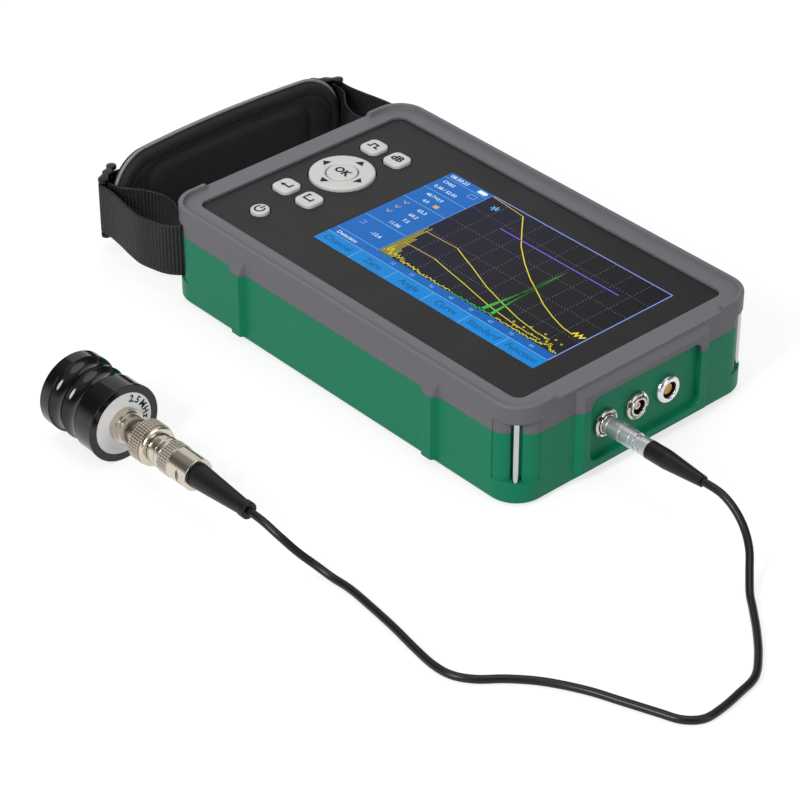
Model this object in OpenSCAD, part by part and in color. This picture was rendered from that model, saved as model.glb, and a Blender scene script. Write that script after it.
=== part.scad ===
// Handheld ultrasonic flaw detector lying on its back, with its hand strap, coax lead and
// straight-beam probe. X runs along the long side towards the sockets, Y up the screen, Z up.
// The origin is the middle of the flat underside.

/* [Case] */
// Length of the case over its short ends
case_l = 176; // [164:1:210]
// Width of the case over its long sides
case_w = 110; // [106:1:130]
// Height of the green tub from the underside to the parting plane
tub_h = 26.4; // [25.6:0.2:34]
// Height of the grey frame from the parting plane to the flat bezel
frame_h = 9.6; // [9.4:0.2:13]
// Height of the lip round the bezel
lip_h = 1.5; // [0.6:0.1:2.5]
// Width of the lip
lip_w = 1.7; // [1.2:0.1:2.6]
// Outer corner radius of the case
corner_r = 11; // [10:0.5:13]
// Wall thickness of tub and frame
wall = 2.4; // [2:0.1:2.8]
// Radius of the rounded edge round the underside
base_edge_r = 1.4; // [0.6:0.1:2]

/* [Corner pockets] */
// Height of the shelf under a strap pin
pocket_z = 8.2; // [5:0.1:12]
// Frame left over the free height of a strap pin
pocket_roof = 5; // [5:0.1:6.8]
// Diameter of a steel strap pin
pin_d = 2; // [1.6:0.1:2.2]

/* [Side ribs] */
// Distance of a rib from the nearer short end
rib_end = 39.5; // [34:0.5:50]
// Width of a rib where it meets the wall
rib_w = 7.4; // [6:0.2:10]
// How far a rib stands out
rib_out = 2.2; // [1:0.1:3]

/* [Socket guard] */
// Free space beside the outer coax socket's nut
guard_low_room = 2.8; // [2:0.1:5]
// Free space beside the data socket
guard_high_room = 9.2; // [6:0.1:11]
// How far the guard stands out
guard_out = 2.1; // [1.2:0.1:3]
// Width of the guard's posts
post_w = 3.1; // [2:0.1:4]
// Height of the guard's sill over the underside
sill_z = 5.6; // [4:0.1:8]

/* [Front panel] */
// Width of the bezel at the short ends of the panel
bezel_end_w = 8; // [7.5:0.1:10]
// Width of the bezel along the long sides of the panel
bezel_side_w = 8.2; // [7.5:0.1:10]
// Thickness of the front panel
panel_t = 2; // [1.6:0.1:2.2]
// How far the panel sits below the bezel
panel_drop = 0.8; // [0.4:0.1:1.2]
// Length of the panel's key field, up to the screen
key_field_l = 41.6; // [41:0.1:48]
// Strip of panel between the screen and the short end of the sockets
screen_end_w = 10.4; // [9:0.1:16]
// Strip of panel below the screen
screen_low_w = 16.4; // [14:0.1:22]
// Strip of panel above the screen
screen_top_w = 12.4; // [11:0.1:18]

/* [Keys] */
// Distance of the key column from the panel's short end
key_inset = 16.8; // [16.6:0.1:18]
// Side of a square key
key_s = 8.4; // [7.6:0.1:9]
// Distance between two keys of a pair
key_pitch = 12.3; // [11.6:0.1:12.8]
// Distance of a key pair from the middle of the ring
key_row = 20.4; // [20:0.1:22]
// Distance of the round power key from the middle of the ring
power_row = 37.5; // [35:0.1:38.5]
// Diameter of the four-way ring
ring_d = 23.6; // [22:0.1:24]
// Diameter of the middle key
ok_d = 11.2; // [10:0.1:12]
// Diameter of the power key
power_d = 6.8; // [6:0.1:8]
// How far the keys stand above the panel
key_rise = 1.1; // [0.8:0.1:1.6]
// Travel of a pressed key
key_travel = 0.5; // [0.3:0.05:0.6]

/* [Sockets] */
// Height of the socket row above the underside
socket_z = 17.6; // [15:0.1:18]
// Place of the middle socket along Y
socket_y = -1.7; // [-2.5:0.1:-1]
// Distance between two sockets
socket_pitch = 14.3; // [13:0.1:14.6]
// Thread diameter of a socket
socket_d = 7; // [6.6:0.1:7.4]
// Bore diameter of a coax socket
socket_bore_d = 5.1; // [4.6:0.1:5.4]
// Outer diameter of a slotted ring nut
ring_nut_d = 10; // [9.6:0.1:11]

/* [Hand strap] */
// Distance of the strap's pad from the short end, at its middle
strap_reach = 36; // [32:1:44]
// Width of the webbing
webbing_w = 20; // [16:0.5:20]
// Thickness of the webbing
webbing_t = 0.9; // [0.7:0.05:0.95]
// Length of the hand pad over its round ends
pad_l = 106; // [96:1:110]
// Height of the hand pad
pad_h = 35.8; // [30:0.2:38.8]
// Thickness of the hand pad at its crown
pad_t = 8; // [6:0.2:9]

/* [Probe] */
// Diameter of the probe over its flange
probe_d = 27.6; // [26:0.2:32]
// Length of the probe body
probe_l = 27; // [24:0.5:34]
// Diameter of the piezo element
element_d = 20; // [10:1:20]
// Place of the label face along X
probe_x = -19; // [-30:1:-10]
// Place of the probe's axis along Y
probe_y = -127.5; // [-150:0.5:-120]

/* [Bayonet connector] */
// Outer diameter of the coupling nut
coupling_d = 14.5; // [14:0.1:16]
// Outer diameter of the jack's barrel
jack_d = 9.6; // [9:0.1:9.8]
// Bore diameter of the jack's barrel
jack_bore_d = 8.1; // [7.8:0.1:8.3]

/* [Cord] */
// Diameter of the coax cord
cord_d = 2.7; // [1.6:0.1:2.8]

/* [Hidden] */
$fn = 48;

// One overrun for every cut, and the gaps that pieces keep
over = 1;
slip = 0.2;
run_gap = 0.05;

// Panel, screen and key column, from the case and the strips of panel round them
panel_l = case_l - 2 * bezel_end_w;
panel_w = case_w - 2 * bezel_side_w;
screen_l = panel_l - key_field_l - screen_end_w;
screen_w = panel_w - screen_low_w - screen_top_w;
screen_x = (key_field_l - screen_end_w) / 2;
screen_y = (screen_low_w - screen_top_w) / 2;
key_x = key_inset - panel_l / 2;
key_column_l = key_row + key_s / 2 + power_row + power_d / 2;
key_low_share = 0.366548;
ring_y = key_low_share * (panel_w - key_column_l) + power_row + (power_d - panel_w) / 2;

// Heights of the stack
bezel_z = tub_h + frame_h;
lip_z = bezel_z + lip_h;
panel_z = bezel_z - panel_drop;
panel_under_z = panel_z - panel_t;
ledge_t = 1.5;
ledge_w = 3;
ceiling_z = panel_under_z - ledge_t;

// Solid corner blocks that carry the pin pockets
block_wall = 3;
block_s = corner_r + block_wall;
column_r = corner_r / 2;
column_step = 0.3;
column_in = corner_r - column_r - column_step;
pin_reach = corner_r - pin_d / 2 - 0.03 * corner_r;
pin_x = case_l / 2 - corner_r + pin_reach / sqrt(2);
pin_y = case_w / 2 - corner_r + pin_reach / sqrt(2);
slot_room = 1.4;
strap_room = 2;
slot_w = pin_d + slot_room;
strap_slot_w = pin_d + 2 * webbing_t + strap_room;
slot_depth = 5.6;
pin_seat = 2;
pocket_h = bezel_z - pocket_z - pocket_roof;

// Lip gaps on the short ends
lip_gap_end = 16.5;
lip_gap_l = case_w - 2 * lip_gap_end;
lip_scoop_r = 4;
lip_round = 0.5;

// Ribs and their grey gussets
rib_pitch = case_l - 2 * rib_end;
rib_face = rib_w - 2 * rib_out * 0.7;
rib_base_z = 2;
gusset_h = 5.5;

// Guard outline
guard_base_z = 0.8;
guard_foot_z = 2.9;
awning_drop = 1.3;
awning_slope_h = 2.4;
tongue_h = 4;
awning_z = bezel_z - awning_drop;
awning_nose_z = awning_z - awning_slope_h;
awning_under_z = tub_h + tongue_h;
recess_r = 3.5;
socket_ys = [socket_y - socket_pitch, socket_y, socket_y + socket_pitch];
recess_y0 = socket_ys[0] - ring_nut_d / 2 - guard_low_room;
recess_y1 = socket_ys[2] + ring_nut_d / 2 + guard_high_room;
guard_w = recess_y1 - recess_y0 + 2 * (guard_out + post_w);
guard_y = (recess_y0 + recess_y1) / 2;

// Case fastening
boss_d = 7.5;
boss_in_x = 22;
boss_sink = 0.65;
boss_in_y = wall + boss_d / 2 - boss_sink;
boss_x = case_l / 2 - boss_in_x;
boss_y = case_w / 2 - boss_in_y;
screw_d = 3;
screw_head_d = 5.6;
screw_head_h = 2.6;
screw_sink = 0.3;
gasket_in = boss_sink + run_gap;
gasket_out = 1.5;
gasket_h = 0.8;

// Battery bay
door_end = 36;
door_side = 23;
door_l = case_l - 2 * door_end;
door_w = case_w - 2 * door_side;
door_r = 3;
door_t = 1.4;
door_x = -6;
bay_lip = 5;
bay_wall = 1.6;
bay_l = door_l - 2 * bay_lip;
bay_w = door_w - 2 * bay_lip;
door_screw_d = 2;
door_head_d = 3.8;
door_head_h = 0.8;
door_screw_l = 5;
door_screw_in = 2.6;
door_screw_x = door_l / 2 - door_screw_in;
door_screw_y = door_w / 2 - door_screw_in;
door_post_d = 4.6;
foot_d = 10;
foot_sink = 1.2;
foot_out = 0.8;
foot_in_x = 13;
foot_in_y = 15;
foot_x = case_l / 2 - foot_in_x;
foot_y = case_w / 2 - foot_in_y;

// Circuit boards
board_t = 1.6;
board_drop = 7.7;
board_z = tub_h - board_drop;
battery_room = 2.7;
battery_h = board_z - door_t - battery_room;
bay_drop = 2.6;
bay_h = battery_h - bay_drop;
board_end = 16;
board_side = 15;
board_l = case_l - 2 * board_end;
board_w = case_w - 2 * board_side;
board_x = -2;
board_post_d = 5;
board_post_in_x = 10;
board_post_in_y = 4;
board_post_x = board_l / 2 - board_post_in_x;
board_post_y = board_w / 2 - board_post_in_y;
board_screw_d = 2.4;
board_screw_head_d = 4.4;
board_screw_head_h = 1.6;
board_screw_l = 6;
chip_h = 2.2;
buzzer_d = 12;
buzzer_h = 3.5;
buzzer_x = -20;
buzzer_in = 10;
buzzer_y = buzzer_in - board_w / 2;

// Boards behind the keys and the sockets
key_stack_h = 5.6;
key_board_z = panel_under_z - key_stack_h;
key_board_l = 27;
key_board_edge = 4;
key_board_w = key_column_l + 2 * key_board_edge;
key_board_y = ring_y + key_row + key_s / 2 - key_column_l / 2;
spacer_d = 4;
spacer_dx = 8;
spacer_share = 0.36;
spacer_dy = spacer_share * key_board_w;
mat_t = 0.5;
mat_in = 1;
dome_h = 0.5;
dome_d = 5;
nav_dome_r = 11.5;
nav_dome_d = 2.4;
pulser_w = 56;
pulser_z0 = wall;
pulser_drop = 0.5;
pulser_z1 = board_z - pulser_drop;
pulser_gap = 14.4;
shield_l = 13;
shield_w = 40;
shield_room = 4.3;
shield_h = board_z - pulser_z0 - shield_room;
guide_w = 2;

// Display
lcd_edge = 5;
lcd_side = 3.6;
lcd_l = screen_l + 2 * lcd_edge;
lcd_w = screen_w + 2 * lcd_side;
lcd_t = 5.5;
ribbon_w = 15;
ribbon_t = 0.3;

// Keys below the panel
key_r = 2.5;
key_gap = 0.4;
key_lip = 0.9;
key_lip_t = 1;
key_seat_gap = 0.3;
key_edge = 0.5;
key_clear = 0.1;
plunger_d = 3;
key_z1 = panel_z + key_rise;
key_lip_z = panel_under_z - key_seat_gap - key_lip_t;
key_foot_z = key_board_z + board_t + mat_t + dome_h + key_travel + key_clear;
ring_gap = 0.5;
ring_lip_t = 0.8;
ring_lip_drop = 1.7;
ring_lip_z = panel_under_z - ring_lip_drop;
ring_bore_d = ok_d + 2 * key_gap;
pivot_d = 20;
pivot_room = 1.15;
pivot_bore_d = ok_d + 2 * pivot_room;
pivot_t = 0.8;
pivot_drop = 1.3;
pivot_z = ring_lip_z - pivot_drop;
ok_lip_t = 0.3;
ok_lip_drop = 0.75;
ok_lip_z = ring_lip_z - ok_lip_drop;

// Sockets and plug
ring_nut_t = 1.9;
ring_nut_edge = 0.6;
ring_nut_turn = 20;
ring_slot_w = 1.4;
ring_slot_t = 1;
back_nut_t = 2;
back_nut_d = 10.4;
socket_out = 2.3;
socket_floor = 8;
socket_rear_x = case_l / 2 - pulser_gap;
insulator_d = 2.6;
insulator_drop = 2.2;
contact_d = 1.6;
contact_bore_d = 1;
data_bore_d = 5.8;
data_flange_d = 10.4;
data_flange_t = 1.4;
data_floor = 7;
data_insert_d = 4;
data_insert_drop = 1.4;
data_pin_d = 0.6;
data_pin_ring = 1.2;
data_pin_count = 5;
data_pin_out = 0.7;

plug_d = 6.4;
plug_core_d = 5;
plug_nose_d = socket_bore_d - 4 * run_gap;
plug_nose_bore = insulator_d + 2 * slip;
plug_nose_l = 5.6;
plug_pin_d = contact_bore_d - 2 * run_gap;
plug_pin_l = 3.4;
plug_sleeve_gap = 0.3;
plug_sleeve_l = 12.8;
plug_neck_l = 1.9;
collet_l = 3.6;
collet_d = 6.2;
collet_flat = 5.6;
plug_boot_l = 23.1;
plug_boot_straight = 7.5;
plug_boot_d = 6.5;
plug_boot_tail_d = 3.9;
groove_w = 0.35;
groove_t = 0.25;
plug_x = case_l / 2 + socket_out;
plug_y = socket_ys[0];
sleeve_x = plug_x + plug_sleeve_gap;
collet_x = sleeve_x + plug_sleeve_l + plug_neck_l;
boot_x = collet_x + collet_l;
plug_end_x = boot_x + plug_boot_l;

// Probe and its connector, lengths from the label face
probe_z = probe_d / 2 - foot_out;
flange_l = 4.6;
rib_a = 11.4;
rib_b = 18.3;
ring_l = 1.4;
cove_depth = 1.8;
rim_step = 0.55;
band_step = 0.35;
cove_d = probe_d - 2 * cove_depth;
cove_rim_d = probe_d - 2 * rim_step;
band_d = probe_d - 2 * band_step;
probe_bore_d = 23;
element_t = 1;
wear_t = 0.8;
label_d = 22;
label_sink = 0.4;
jack_nut_d = 12.2;
jack_nut_t = 2.6;
jack_rim_d = 11;
jack_rim_t = 1.2;
jack_l = 15.5;
jack_floor = 6;
jack_tail = 3;
lug_d = 1.9;
lug_out = 0.7;
lug_s = 13;
jack_insulator_d = 4.4;
jack_insulator_l = 7;
coupling_s0 = 11.1;
coupling_s1 = 18.2;
coupling_knurl = 5;
coupling_step = 0.3;
coupling_ring_d = coupling_d - 2 * coupling_step;
coupling_web = 1.6;
coupling_inner_d = 11.4;
body_neck_d = 8.4;
body_nose_d = jack_bore_d - 4 * run_gap;
body_nose_bore = 6.2;
body_nose_s = 9;
collar_d = 10.5;
collar_s = 18.4;
body_d = 11.2;
body_s = 21.6;
knurl_s = 24;
body_end_s = 29;
bnc_pin_d = 1.4;
bnc_pin_s = 9.4;
bnc_pin_end = 19;
back_nut_end_s = 38.3;
bnc_nut_d = 11.3;
bnc_nut_flat = 10;
bnc_nut_bore = 8;
bnc_nut_floor = 6;
bnc_boot_d = 7.9;
bnc_boot_swell_d = 8.6;
bnc_boot_neck_d = 5.3;
bnc_boot_ring_d = 5.9;
bnc_boot_ring_s = 60.6;
bnc_end_s = 63.8;

// Hand strap: pad outline, its bow, and the rings of its surface as shares of the corner
// radius and of half the thickness
piping_d = 1.2;
pad_half_l = pad_l / 2 - piping_d;
pad_half_h = pad_h / 2 - piping_d;
pad_end_flat = 1.2;
pad_corner_r = pad_half_h - pad_end_flat;
pad_bow = 6;
pad_lift = 0.3;
pad_z = pad_h / 2 + pad_lift;
pad_x = -case_l / 2 - strap_reach - pad_t / 2;
bow_r = (pad_half_l ^ 2 + pad_bow ^ 2) / (2 * pad_bow);
pad_step = 15;
pad_side_steps = 6;
pad_inset_shares = [0, 0.02, 0.06, 0.10, 0.14, 0.19, 0.40, 0.47, 0.55, 0.80, 0.97];
pad_front_shares = [0.45, 0.62, 0.74, 0.74, 0.64, 0.76, 0.84, 0.81, 0.97, 1.00, 1.00];
pad_back_shares = [0.45, 0.62, 0.74, 0.74, 0.66, 0.76, 0.86, 0.86, 0.86, 0.86, 0.86];
pad_back = 0.86 * pad_t / 2;

// Buckle with three round bars, and the webbing's run round them and round the pin
buckle_bar = 1.8;
buckle_pitch = 4.7;
buckle_h = 24;
buckle_end = 1.5;
buckle_turn = 35;
buckle_x = pad_x + pad_t / 6;
buckle_y = -pad_half_l + piping_d / 2;
webbing_z = pocket_z + slip;
buckle_z = webbing_z + webbing_w / 2 - buckle_h / 2;
bar_r = buckle_bar / 2 + webbing_t / 2 + slip / 2;
over_r = bar_r + webbing_t + slip / 2;
wrap_r = pin_d / 2 + webbing_t / 2 + slip / 2;
cross_turn = acos(2 * bar_r / buckle_pitch);
dive_turn = acos((bar_r + over_r) / buckle_pitch);
crest_turn = acos((over_r - bar_r) / buckle_pitch);
leave_turn = 30;
inner_shares = [[0.86, 0.02], [0.75, 0.09], [0.65, 0.15], [0.53, 0.19], [0.44, 0.20], [0.33, 0.18],
                [0.20, 0.12]];
outer_shares = [[0.38, 0.16], [0.54, 0.12], [0.72, 0.06], [0.88, 0.015]];
inner_lead_shares = [[0.33, -0.17]];
outer_lead_shares = [[-0.14, 0.18], [0.12, 0.43], [0.38, 0.58], [0.74, 0.68]];

// Cord: points on its way from the plug's boot down to the table and up to the probe's boot
cord_sides = 8;
cord_steps = 2;
cord_lift = 0.02;
cord_rest = cord_d / 2 - foot_out + cord_lift;
cord_from_plug = [[7.5, 0.4, 16.8], [14, 0, 14], [19.5, -1.5, 10.5], [24.5, -4.5, 7],
                  [29.5, -9.5, 3.6], [34.5, -14.5, 1.2], [40, -19, cord_rest],
                  [48, -26, cord_rest], [56, -34, cord_rest], [62, -42, cord_rest],
                  [64, -51, cord_rest], [65.5, -60, cord_rest], [65, -67, cord_rest],
                  [61, -72, cord_rest], [54, -75, cord_rest], [44, -79, cord_rest],
                  [33, -83.5, cord_rest]];
cord_to_probe = [[109.2, 21.5, cord_rest], [101.2, 14.5, cord_rest], [95.2, 7.5, cord_rest],
                 [89.2, 3.5, cord_rest], [82.2, 2.5, cord_rest], [73.2, 3.5, cord_rest],
                 [61.2, 5.5, cord_rest], [49.2, 7, cord_rest], [38.2, 8, cord_rest],
                 [30.2, 7.5, 0.8], [24.2, 6, 2.8], [18.7, 3.5, 6], [12.7, 1.2, 10],
                 [6.2, 0.2, 12.5]];
cord_route = concat([for (p = cord_from_plug) p + [plug_end_x, plug_y, 0]],
                    [for (p = cord_to_probe) p + [probe_x + bnc_end_s, probe_y, 0]]);

// Rounded plate outline with true arcs
module plate2d(l, w, r) {
    square([l - 2 * r, w], center = true);
    square([l, w - 2 * r], center = true);
    for (sx = [-1, 1], sy = [-1, 1])
        translate([sx * (l / 2 - r), sy * (w / 2 - r)]) circle(r);
}

module plate(l, w, r, t) {
    linear_extrude(t) plate2d(l, w, r);
}

// Cross-shaped inside of the case, with the corner blocks left solid, grown by g
module cavity2d(g = 0) {
    square([case_l - 2 * wall + 2 * g, case_w - 2 * block_s + 2 * g], center = true);
    square([case_l - 2 * block_s + 2 * g, case_w - 2 * wall + 2 * g], center = true);
}

module gasket2d() {
    difference() {
        cavity2d(gasket_out);
        cavity2d(gasket_in);
    }
}

// A profile swept once round the case outline; its x = 0 is the outer face
module sweep_round() {
    for (sx = [0, 1])
        mirror([sx, 0]) {
            translate([case_l / 2, -case_w / 2 + corner_r])
                rotate([90, 0, 180]) mirror([1, 0, 0])
                    linear_extrude(case_w - 2 * corner_r) children();
        }
    for (sy = [0, 1])
        mirror([0, sy])
            translate([-case_l / 2 + corner_r, case_w / 2])
                rotate([90, 0, 90])
                    linear_extrude(case_l - 2 * corner_r) children();
    for (sx = [0, 1], sy = [0, 1])
        mirror([sx, 0]) mirror([0, sy])
            translate([case_l / 2 - corner_r, case_w / 2 - corner_r])
                rotate_extrude(angle = 90) translate([corner_r, 0]) children();
}

// What a corner pocket takes away, seen in plan, at the corner of +X and +Y
module pocket2d(slot) {
    translate([case_l / 2 - corner_r, case_w / 2 - corner_r]) {
        difference() {
            square([corner_r + over, corner_r + over]);
            translate([column_in, 0]) circle(column_r);
            translate([0, column_in]) circle(column_r);
            square([column_r, column_r]);
        }
        rotate(45) translate([corner_r - slot_depth, -slot / 2]) square([slot_depth + over, slot]);
    }
}

module pockets(z, h) {
    for (sx = [0, 1], sy = [0, 1])
        mirror([sx, 0, 0]) mirror([0, sy, 0])
            translate([0, 0, z]) linear_extrude(h) pocket2d(sx == 1 ? strap_slot_w : slot_w);
}

// Places of the four corners, and of the four case screws
module at_pins() {
    for (sx = [-1, 1], sy = [-1, 1]) translate([sx * pin_x, sy * pin_y, 0]) children();
}

module at_bosses() {
    for (sx = [-1, 1], sy = [-1, 1]) translate([sx * boss_x, sy * boss_y, 0]) children();
}

module rib2d() {
    polygon([[-rib_w / 2, 0], [rib_w / 2, 0], [rib_face / 2, rib_out], [-rib_face / 2, rib_out]]);
}

module at_ribs() {
    for (sx = [-1, 1], sy = [0, 1])
        mirror([0, sy, 0]) translate([sx * rib_pitch / 2, case_w / 2 - over, 0]) children();
}

// One rib with its root sunk in the wall, between two heights
module rib(z0, z1) {
    translate([0, 0, z0]) linear_extrude(z1 - z0) {
        translate([0, over]) rib2d();
        translate([-rib_w / 2, 0]) square([rib_w, over]);
    }
}

// The guard's whole block before it is split at the parting plane
module guard_block() {
    intersection() {
        translate([case_l / 2, guard_y, 0]) linear_extrude(lip_z)
            polygon([[-over, -guard_w / 2], [0, -guard_w / 2], [guard_out, -guard_w / 2 + guard_out],
                     [guard_out, guard_w / 2 - guard_out], [0, guard_w / 2], [-over, guard_w / 2]]);
        translate([case_l / 2, guard_y + guard_w / 2, 0]) rotate([90, 0, 0]) linear_extrude(guard_w)
            polygon([[-over, guard_base_z], [0, guard_base_z], [guard_out, guard_foot_z],
                     [guard_out, awning_nose_z], [0, awning_z], [-over, awning_z]]);
    }
}

module recess_cut(grow = 0) {
    translate([case_l / 2, (recess_y0 + recess_y1) / 2, (sill_z + awning_under_z) / 2])
        rotate([90, 0, 90])
            linear_extrude(guard_out + over)
                plate2d(recess_y1 - recess_y0 + 2 * grow, awning_under_z - sill_z + 2 * grow, recess_r);
}

// The tub's wall rises behind the guard's awning
module tongue(gap) {
    translate([case_l / 2 - wall, recess_y0 - gap, tub_h])
        cube([wall, recess_y1 - recess_y0 + 2 * gap, awning_under_z - tub_h + gap]);
}

module below_parting(h) {
    translate([-case_l, -case_w, -over]) cube([2 * case_l, 2 * case_w, h + over]);
}

// Round bar along +X from x0 to x1
module bar(x0, x1, d) {
    translate([x0, 0, 0]) rotate([0, 90, 0]) cylinder(h = x1 - x0, d = d);
}

module cone_bar(x0, x1, d0, d1) {
    translate([x0, 0, 0]) rotate([0, 90, 0]) cylinder(h = x1 - x0, d1 = d0, d2 = d1);
}

module at_socket(i) {
    translate([0, socket_ys[i], socket_z]) children();
}

// Green lower shell: floor, walls, corner blocks, ribs, guard posts and sill
module lower_case() {
    color([0.15, 0.48, 0.36]) difference() {
        union() {
            difference() {
                union() {
                    sweep_round() {
                        translate([-base_edge_r, base_edge_r]) circle(base_edge_r);
                        translate([-2 * base_edge_r, 0]) square([base_edge_r, tub_h]);
                        translate([-2 * base_edge_r, base_edge_r])
                            square([2 * base_edge_r, tub_h - base_edge_r]);
                    }
                    plate(case_l - 3 * base_edge_r, case_w - 3 * base_edge_r,
                          corner_r - 1.5 * base_edge_r, tub_h);
                    at_ribs() rib(rib_base_z, tub_h);
                    intersection() {
                        guard_block();
                        below_parting(tub_h);
                    }
                }
                translate([0, 0, wall]) linear_extrude(tub_h) cavity2d();
                translate([0, 0, tub_h - gasket_h]) linear_extrude(gasket_h + over) gasket2d();
                recess_cut();
            }
            tongue(0);
            at_bosses() translate([0, 0, wall / 2]) cylinder(h = tub_h - wall / 2, d = boss_d);
            for (sx = [-1, 1], sy = [-1, 1])
                translate([board_x + sx * board_post_x, sy * board_post_y, wall / 2])
                    cylinder(h = board_z - wall / 2, d = board_post_d);
            translate([door_x, 0, wall / 2]) difference() {
                plate(bay_l + 2 * bay_wall, bay_w + 2 * bay_wall, bay_wall, bay_h);
                translate([0, 0, -over]) plate(bay_l, bay_w, bay_wall, bay_h + 2 * over);
            }
            for (sx = [-1, 1], sy = [-1, 1])
                translate([door_x + sx * door_screw_x, sy * door_screw_y, wall / 2])
                    cylinder(h = door_screw_l, d = door_post_d);
            for (sy = [-1, 1])
                translate([socket_rear_x - board_t - guide_w,
                           sy * (pulser_w + guide_w) / 2 - guide_w / 2, wall / 2])
                    cube([board_t + 2 * guide_w, guide_w, pulser_z1 - wall / 2]);
        }
        pockets(pocket_z, tub_h);
        at_pins() translate([0, 0, pocket_z - pin_seat]) cylinder(h = pocket_h, d = pin_d);
        at_bosses() {
            translate([0, 0, -over]) cylinder(h = tub_h + 2 * over, d = screw_d + slip);
            translate([0, 0, -over])
                cylinder(h = screw_head_h + screw_sink + over, d = screw_head_d + slip);
        }
        translate([door_x, 0, -over]) plate(door_l + 2 * slip, door_w + 2 * slip, door_r, door_t + over);
        translate([door_x, 0, -over]) plate(bay_l, bay_w, bay_wall, wall + 2 * over);
        for (sx = [-1, 1], sy = [-1, 1]) {
            translate([door_x + sx * door_screw_x, sy * door_screw_y, 0])
                cylinder(h = door_screw_l, d = door_screw_d);
            translate([sx * foot_x, sy * foot_y, -over]) cylinder(h = foot_sink + over, d = foot_d);
            translate([board_x + sx * board_post_x, sy * board_post_y, board_z - board_screw_l])
                cylinder(h = board_screw_l + over, d = board_screw_d);
        }
        for (i = [0:2]) at_socket(i) bar(case_l / 2 - wall - over, case_l / 2 + over, socket_d + slip);
    }
}

// What opens the lip on the short end of the strap, with hollowed ends
module lip_scoop() {
    scoop_w = lip_w + lip_h / 3 + over;
    translate([-case_l / 2 - over, 0, bezel_z]) intersection() {
        translate([0, -lip_gap_l / 2, 0]) cube([scoop_w + over, lip_gap_l, lip_h + over]);
        union() {
            translate([0, lip_scoop_r - lip_gap_l / 2, 0])
                cube([scoop_w + over, lip_gap_l - 2 * lip_scoop_r, lip_h + over]);
            for (sy = [-1, 1])
                translate([0, sy * (lip_gap_l / 2 - lip_scoop_r), lip_scoop_r * 0.75])
                    bar(0, scoop_w + over, 2 * lip_scoop_r);
        }
    }
}

// Grey upper frame: lip, flat bezel, panel ledge, gussets and the awning over the sockets
module upper_frame() {
    color([0.45, 0.45, 0.47]) difference() {
        union() {
            difference() {
                union() {
                    sweep_round() {
                        translate([-lip_w, tub_h]) square([lip_w, frame_h + lip_h - lip_round]);
                        translate([-lip_round, lip_z - lip_round]) circle(lip_round);
                        translate([-lip_w, tub_h]) square([lip_w - lip_round, frame_h + lip_h]);
                        polygon([[-lip_w, lip_z], [-lip_w - lip_h / 3, bezel_z - lip_round],
                                 [-lip_w, bezel_z - lip_round]]);
                    }
                    translate([0, 0, tub_h])
                        plate(case_l - 2 * lip_w, case_w - 2 * lip_w, corner_r - lip_w, frame_h);
                    at_ribs() intersection() {
                        rib(tub_h, tub_h + gusset_h);
                        translate([-rib_w, 0, 0]) rotate([90, 0, 90]) linear_extrude(2 * rib_w)
                            polygon([[0, tub_h], [over + rib_out, tub_h], [over, tub_h + gusset_h],
                                     [0, tub_h + gusset_h]]);
                    }
                    difference() {
                        guard_block();
                        below_parting(tub_h);
                    }
                }
                translate([0, 0, tub_h - over]) linear_extrude(ceiling_z - tub_h + over) cavity2d();
                recess_cut();
                tongue(slip / 2);
            }
            at_bosses() translate([0, 0, tub_h]) cylinder(h = ceiling_z - tub_h + ledge_t / 2, d = boss_d);
        }
        translate([0, 0, panel_under_z])
            plate(panel_l + 2 * slip, panel_w + 2 * slip, corner_r / 3, frame_h);
        translate([0, 0, tub_h])
            linear_extrude(frame_h) square([panel_l - 2 * ledge_w, panel_w - 2 * ledge_w], center = true);
        pockets(tub_h - over, pocket_z + pocket_h - tub_h + over);
        at_pins() translate([0, 0, tub_h]) cylinder(h = pocket_z + pocket_h + pin_seat - tub_h, d = pin_d);
        at_bosses() translate([0, 0, tub_h - over]) cylinder(h = ceiling_z - tub_h + over, d = screw_d);
        translate([case_l / 2 - corner_r / 2, -lip_gap_l / 2, bezel_z])
            cube([corner_r, lip_gap_l, lip_h + over]);
        lip_scoop();
    }
}

module case_gasket() {
    color([0.1, 0.1, 0.1]) translate([0, 0, tub_h - gasket_h]) linear_extrude(gasket_h) gasket2d();
}

module key_places() {
    for (row = [-1, 1], col = [-1, 1])
        translate([key_x + col * key_pitch / 2, ring_y + row * key_row, 0]) children();
}

module power_place() {
    translate([key_x, ring_y - power_row, 0]) children();
}

module ring_place() {
    translate([key_x, ring_y, 0]) children();
}

// Black panel with the screen window and the key holes
module front_panel() {
    color([0.2, 0.2, 0.21]) difference() {
        translate([0, 0, panel_under_z]) plate(panel_l, panel_w, corner_r / 3, panel_t);
        translate([screen_x, screen_y, panel_under_z - over])
            linear_extrude(panel_t + 2 * over) square([screen_l, screen_w], center = true);
        translate([0, 0, panel_under_z - over]) {
            key_places()
                plate(key_s + 2 * key_gap, key_s + 2 * key_gap, key_r + key_gap, panel_t + 2 * over);
            power_place() cylinder(h = panel_t + 2 * over, d = power_d + 2 * key_gap);
            ring_place() cylinder(h = panel_t + 2 * over, d = ring_d + 2 * ring_gap);
        }
    }
}

module display_window() {
    color([0.1, 0.1, 0.25]) translate([screen_x, screen_y, panel_under_z])
        linear_extrude(panel_t) square([screen_l, screen_w], center = true);
}

module display_module() {
    color([0.7, 0.7, 0.72]) translate([screen_x, screen_y, panel_under_z - lcd_t])
        plate(lcd_l, lcd_w, slip, lcd_t);
}

module display_ribbon() {
    ribbon_z = board_z + board_t;
    color([0.85, 0.6, 0.2]) translate([screen_x - lcd_l / 2 - ribbon_t, screen_y - ribbon_w / 2, ribbon_z])
        cube([ribbon_t, ribbon_w, panel_under_z - lcd_t / 2 - ribbon_z]);
}

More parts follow.
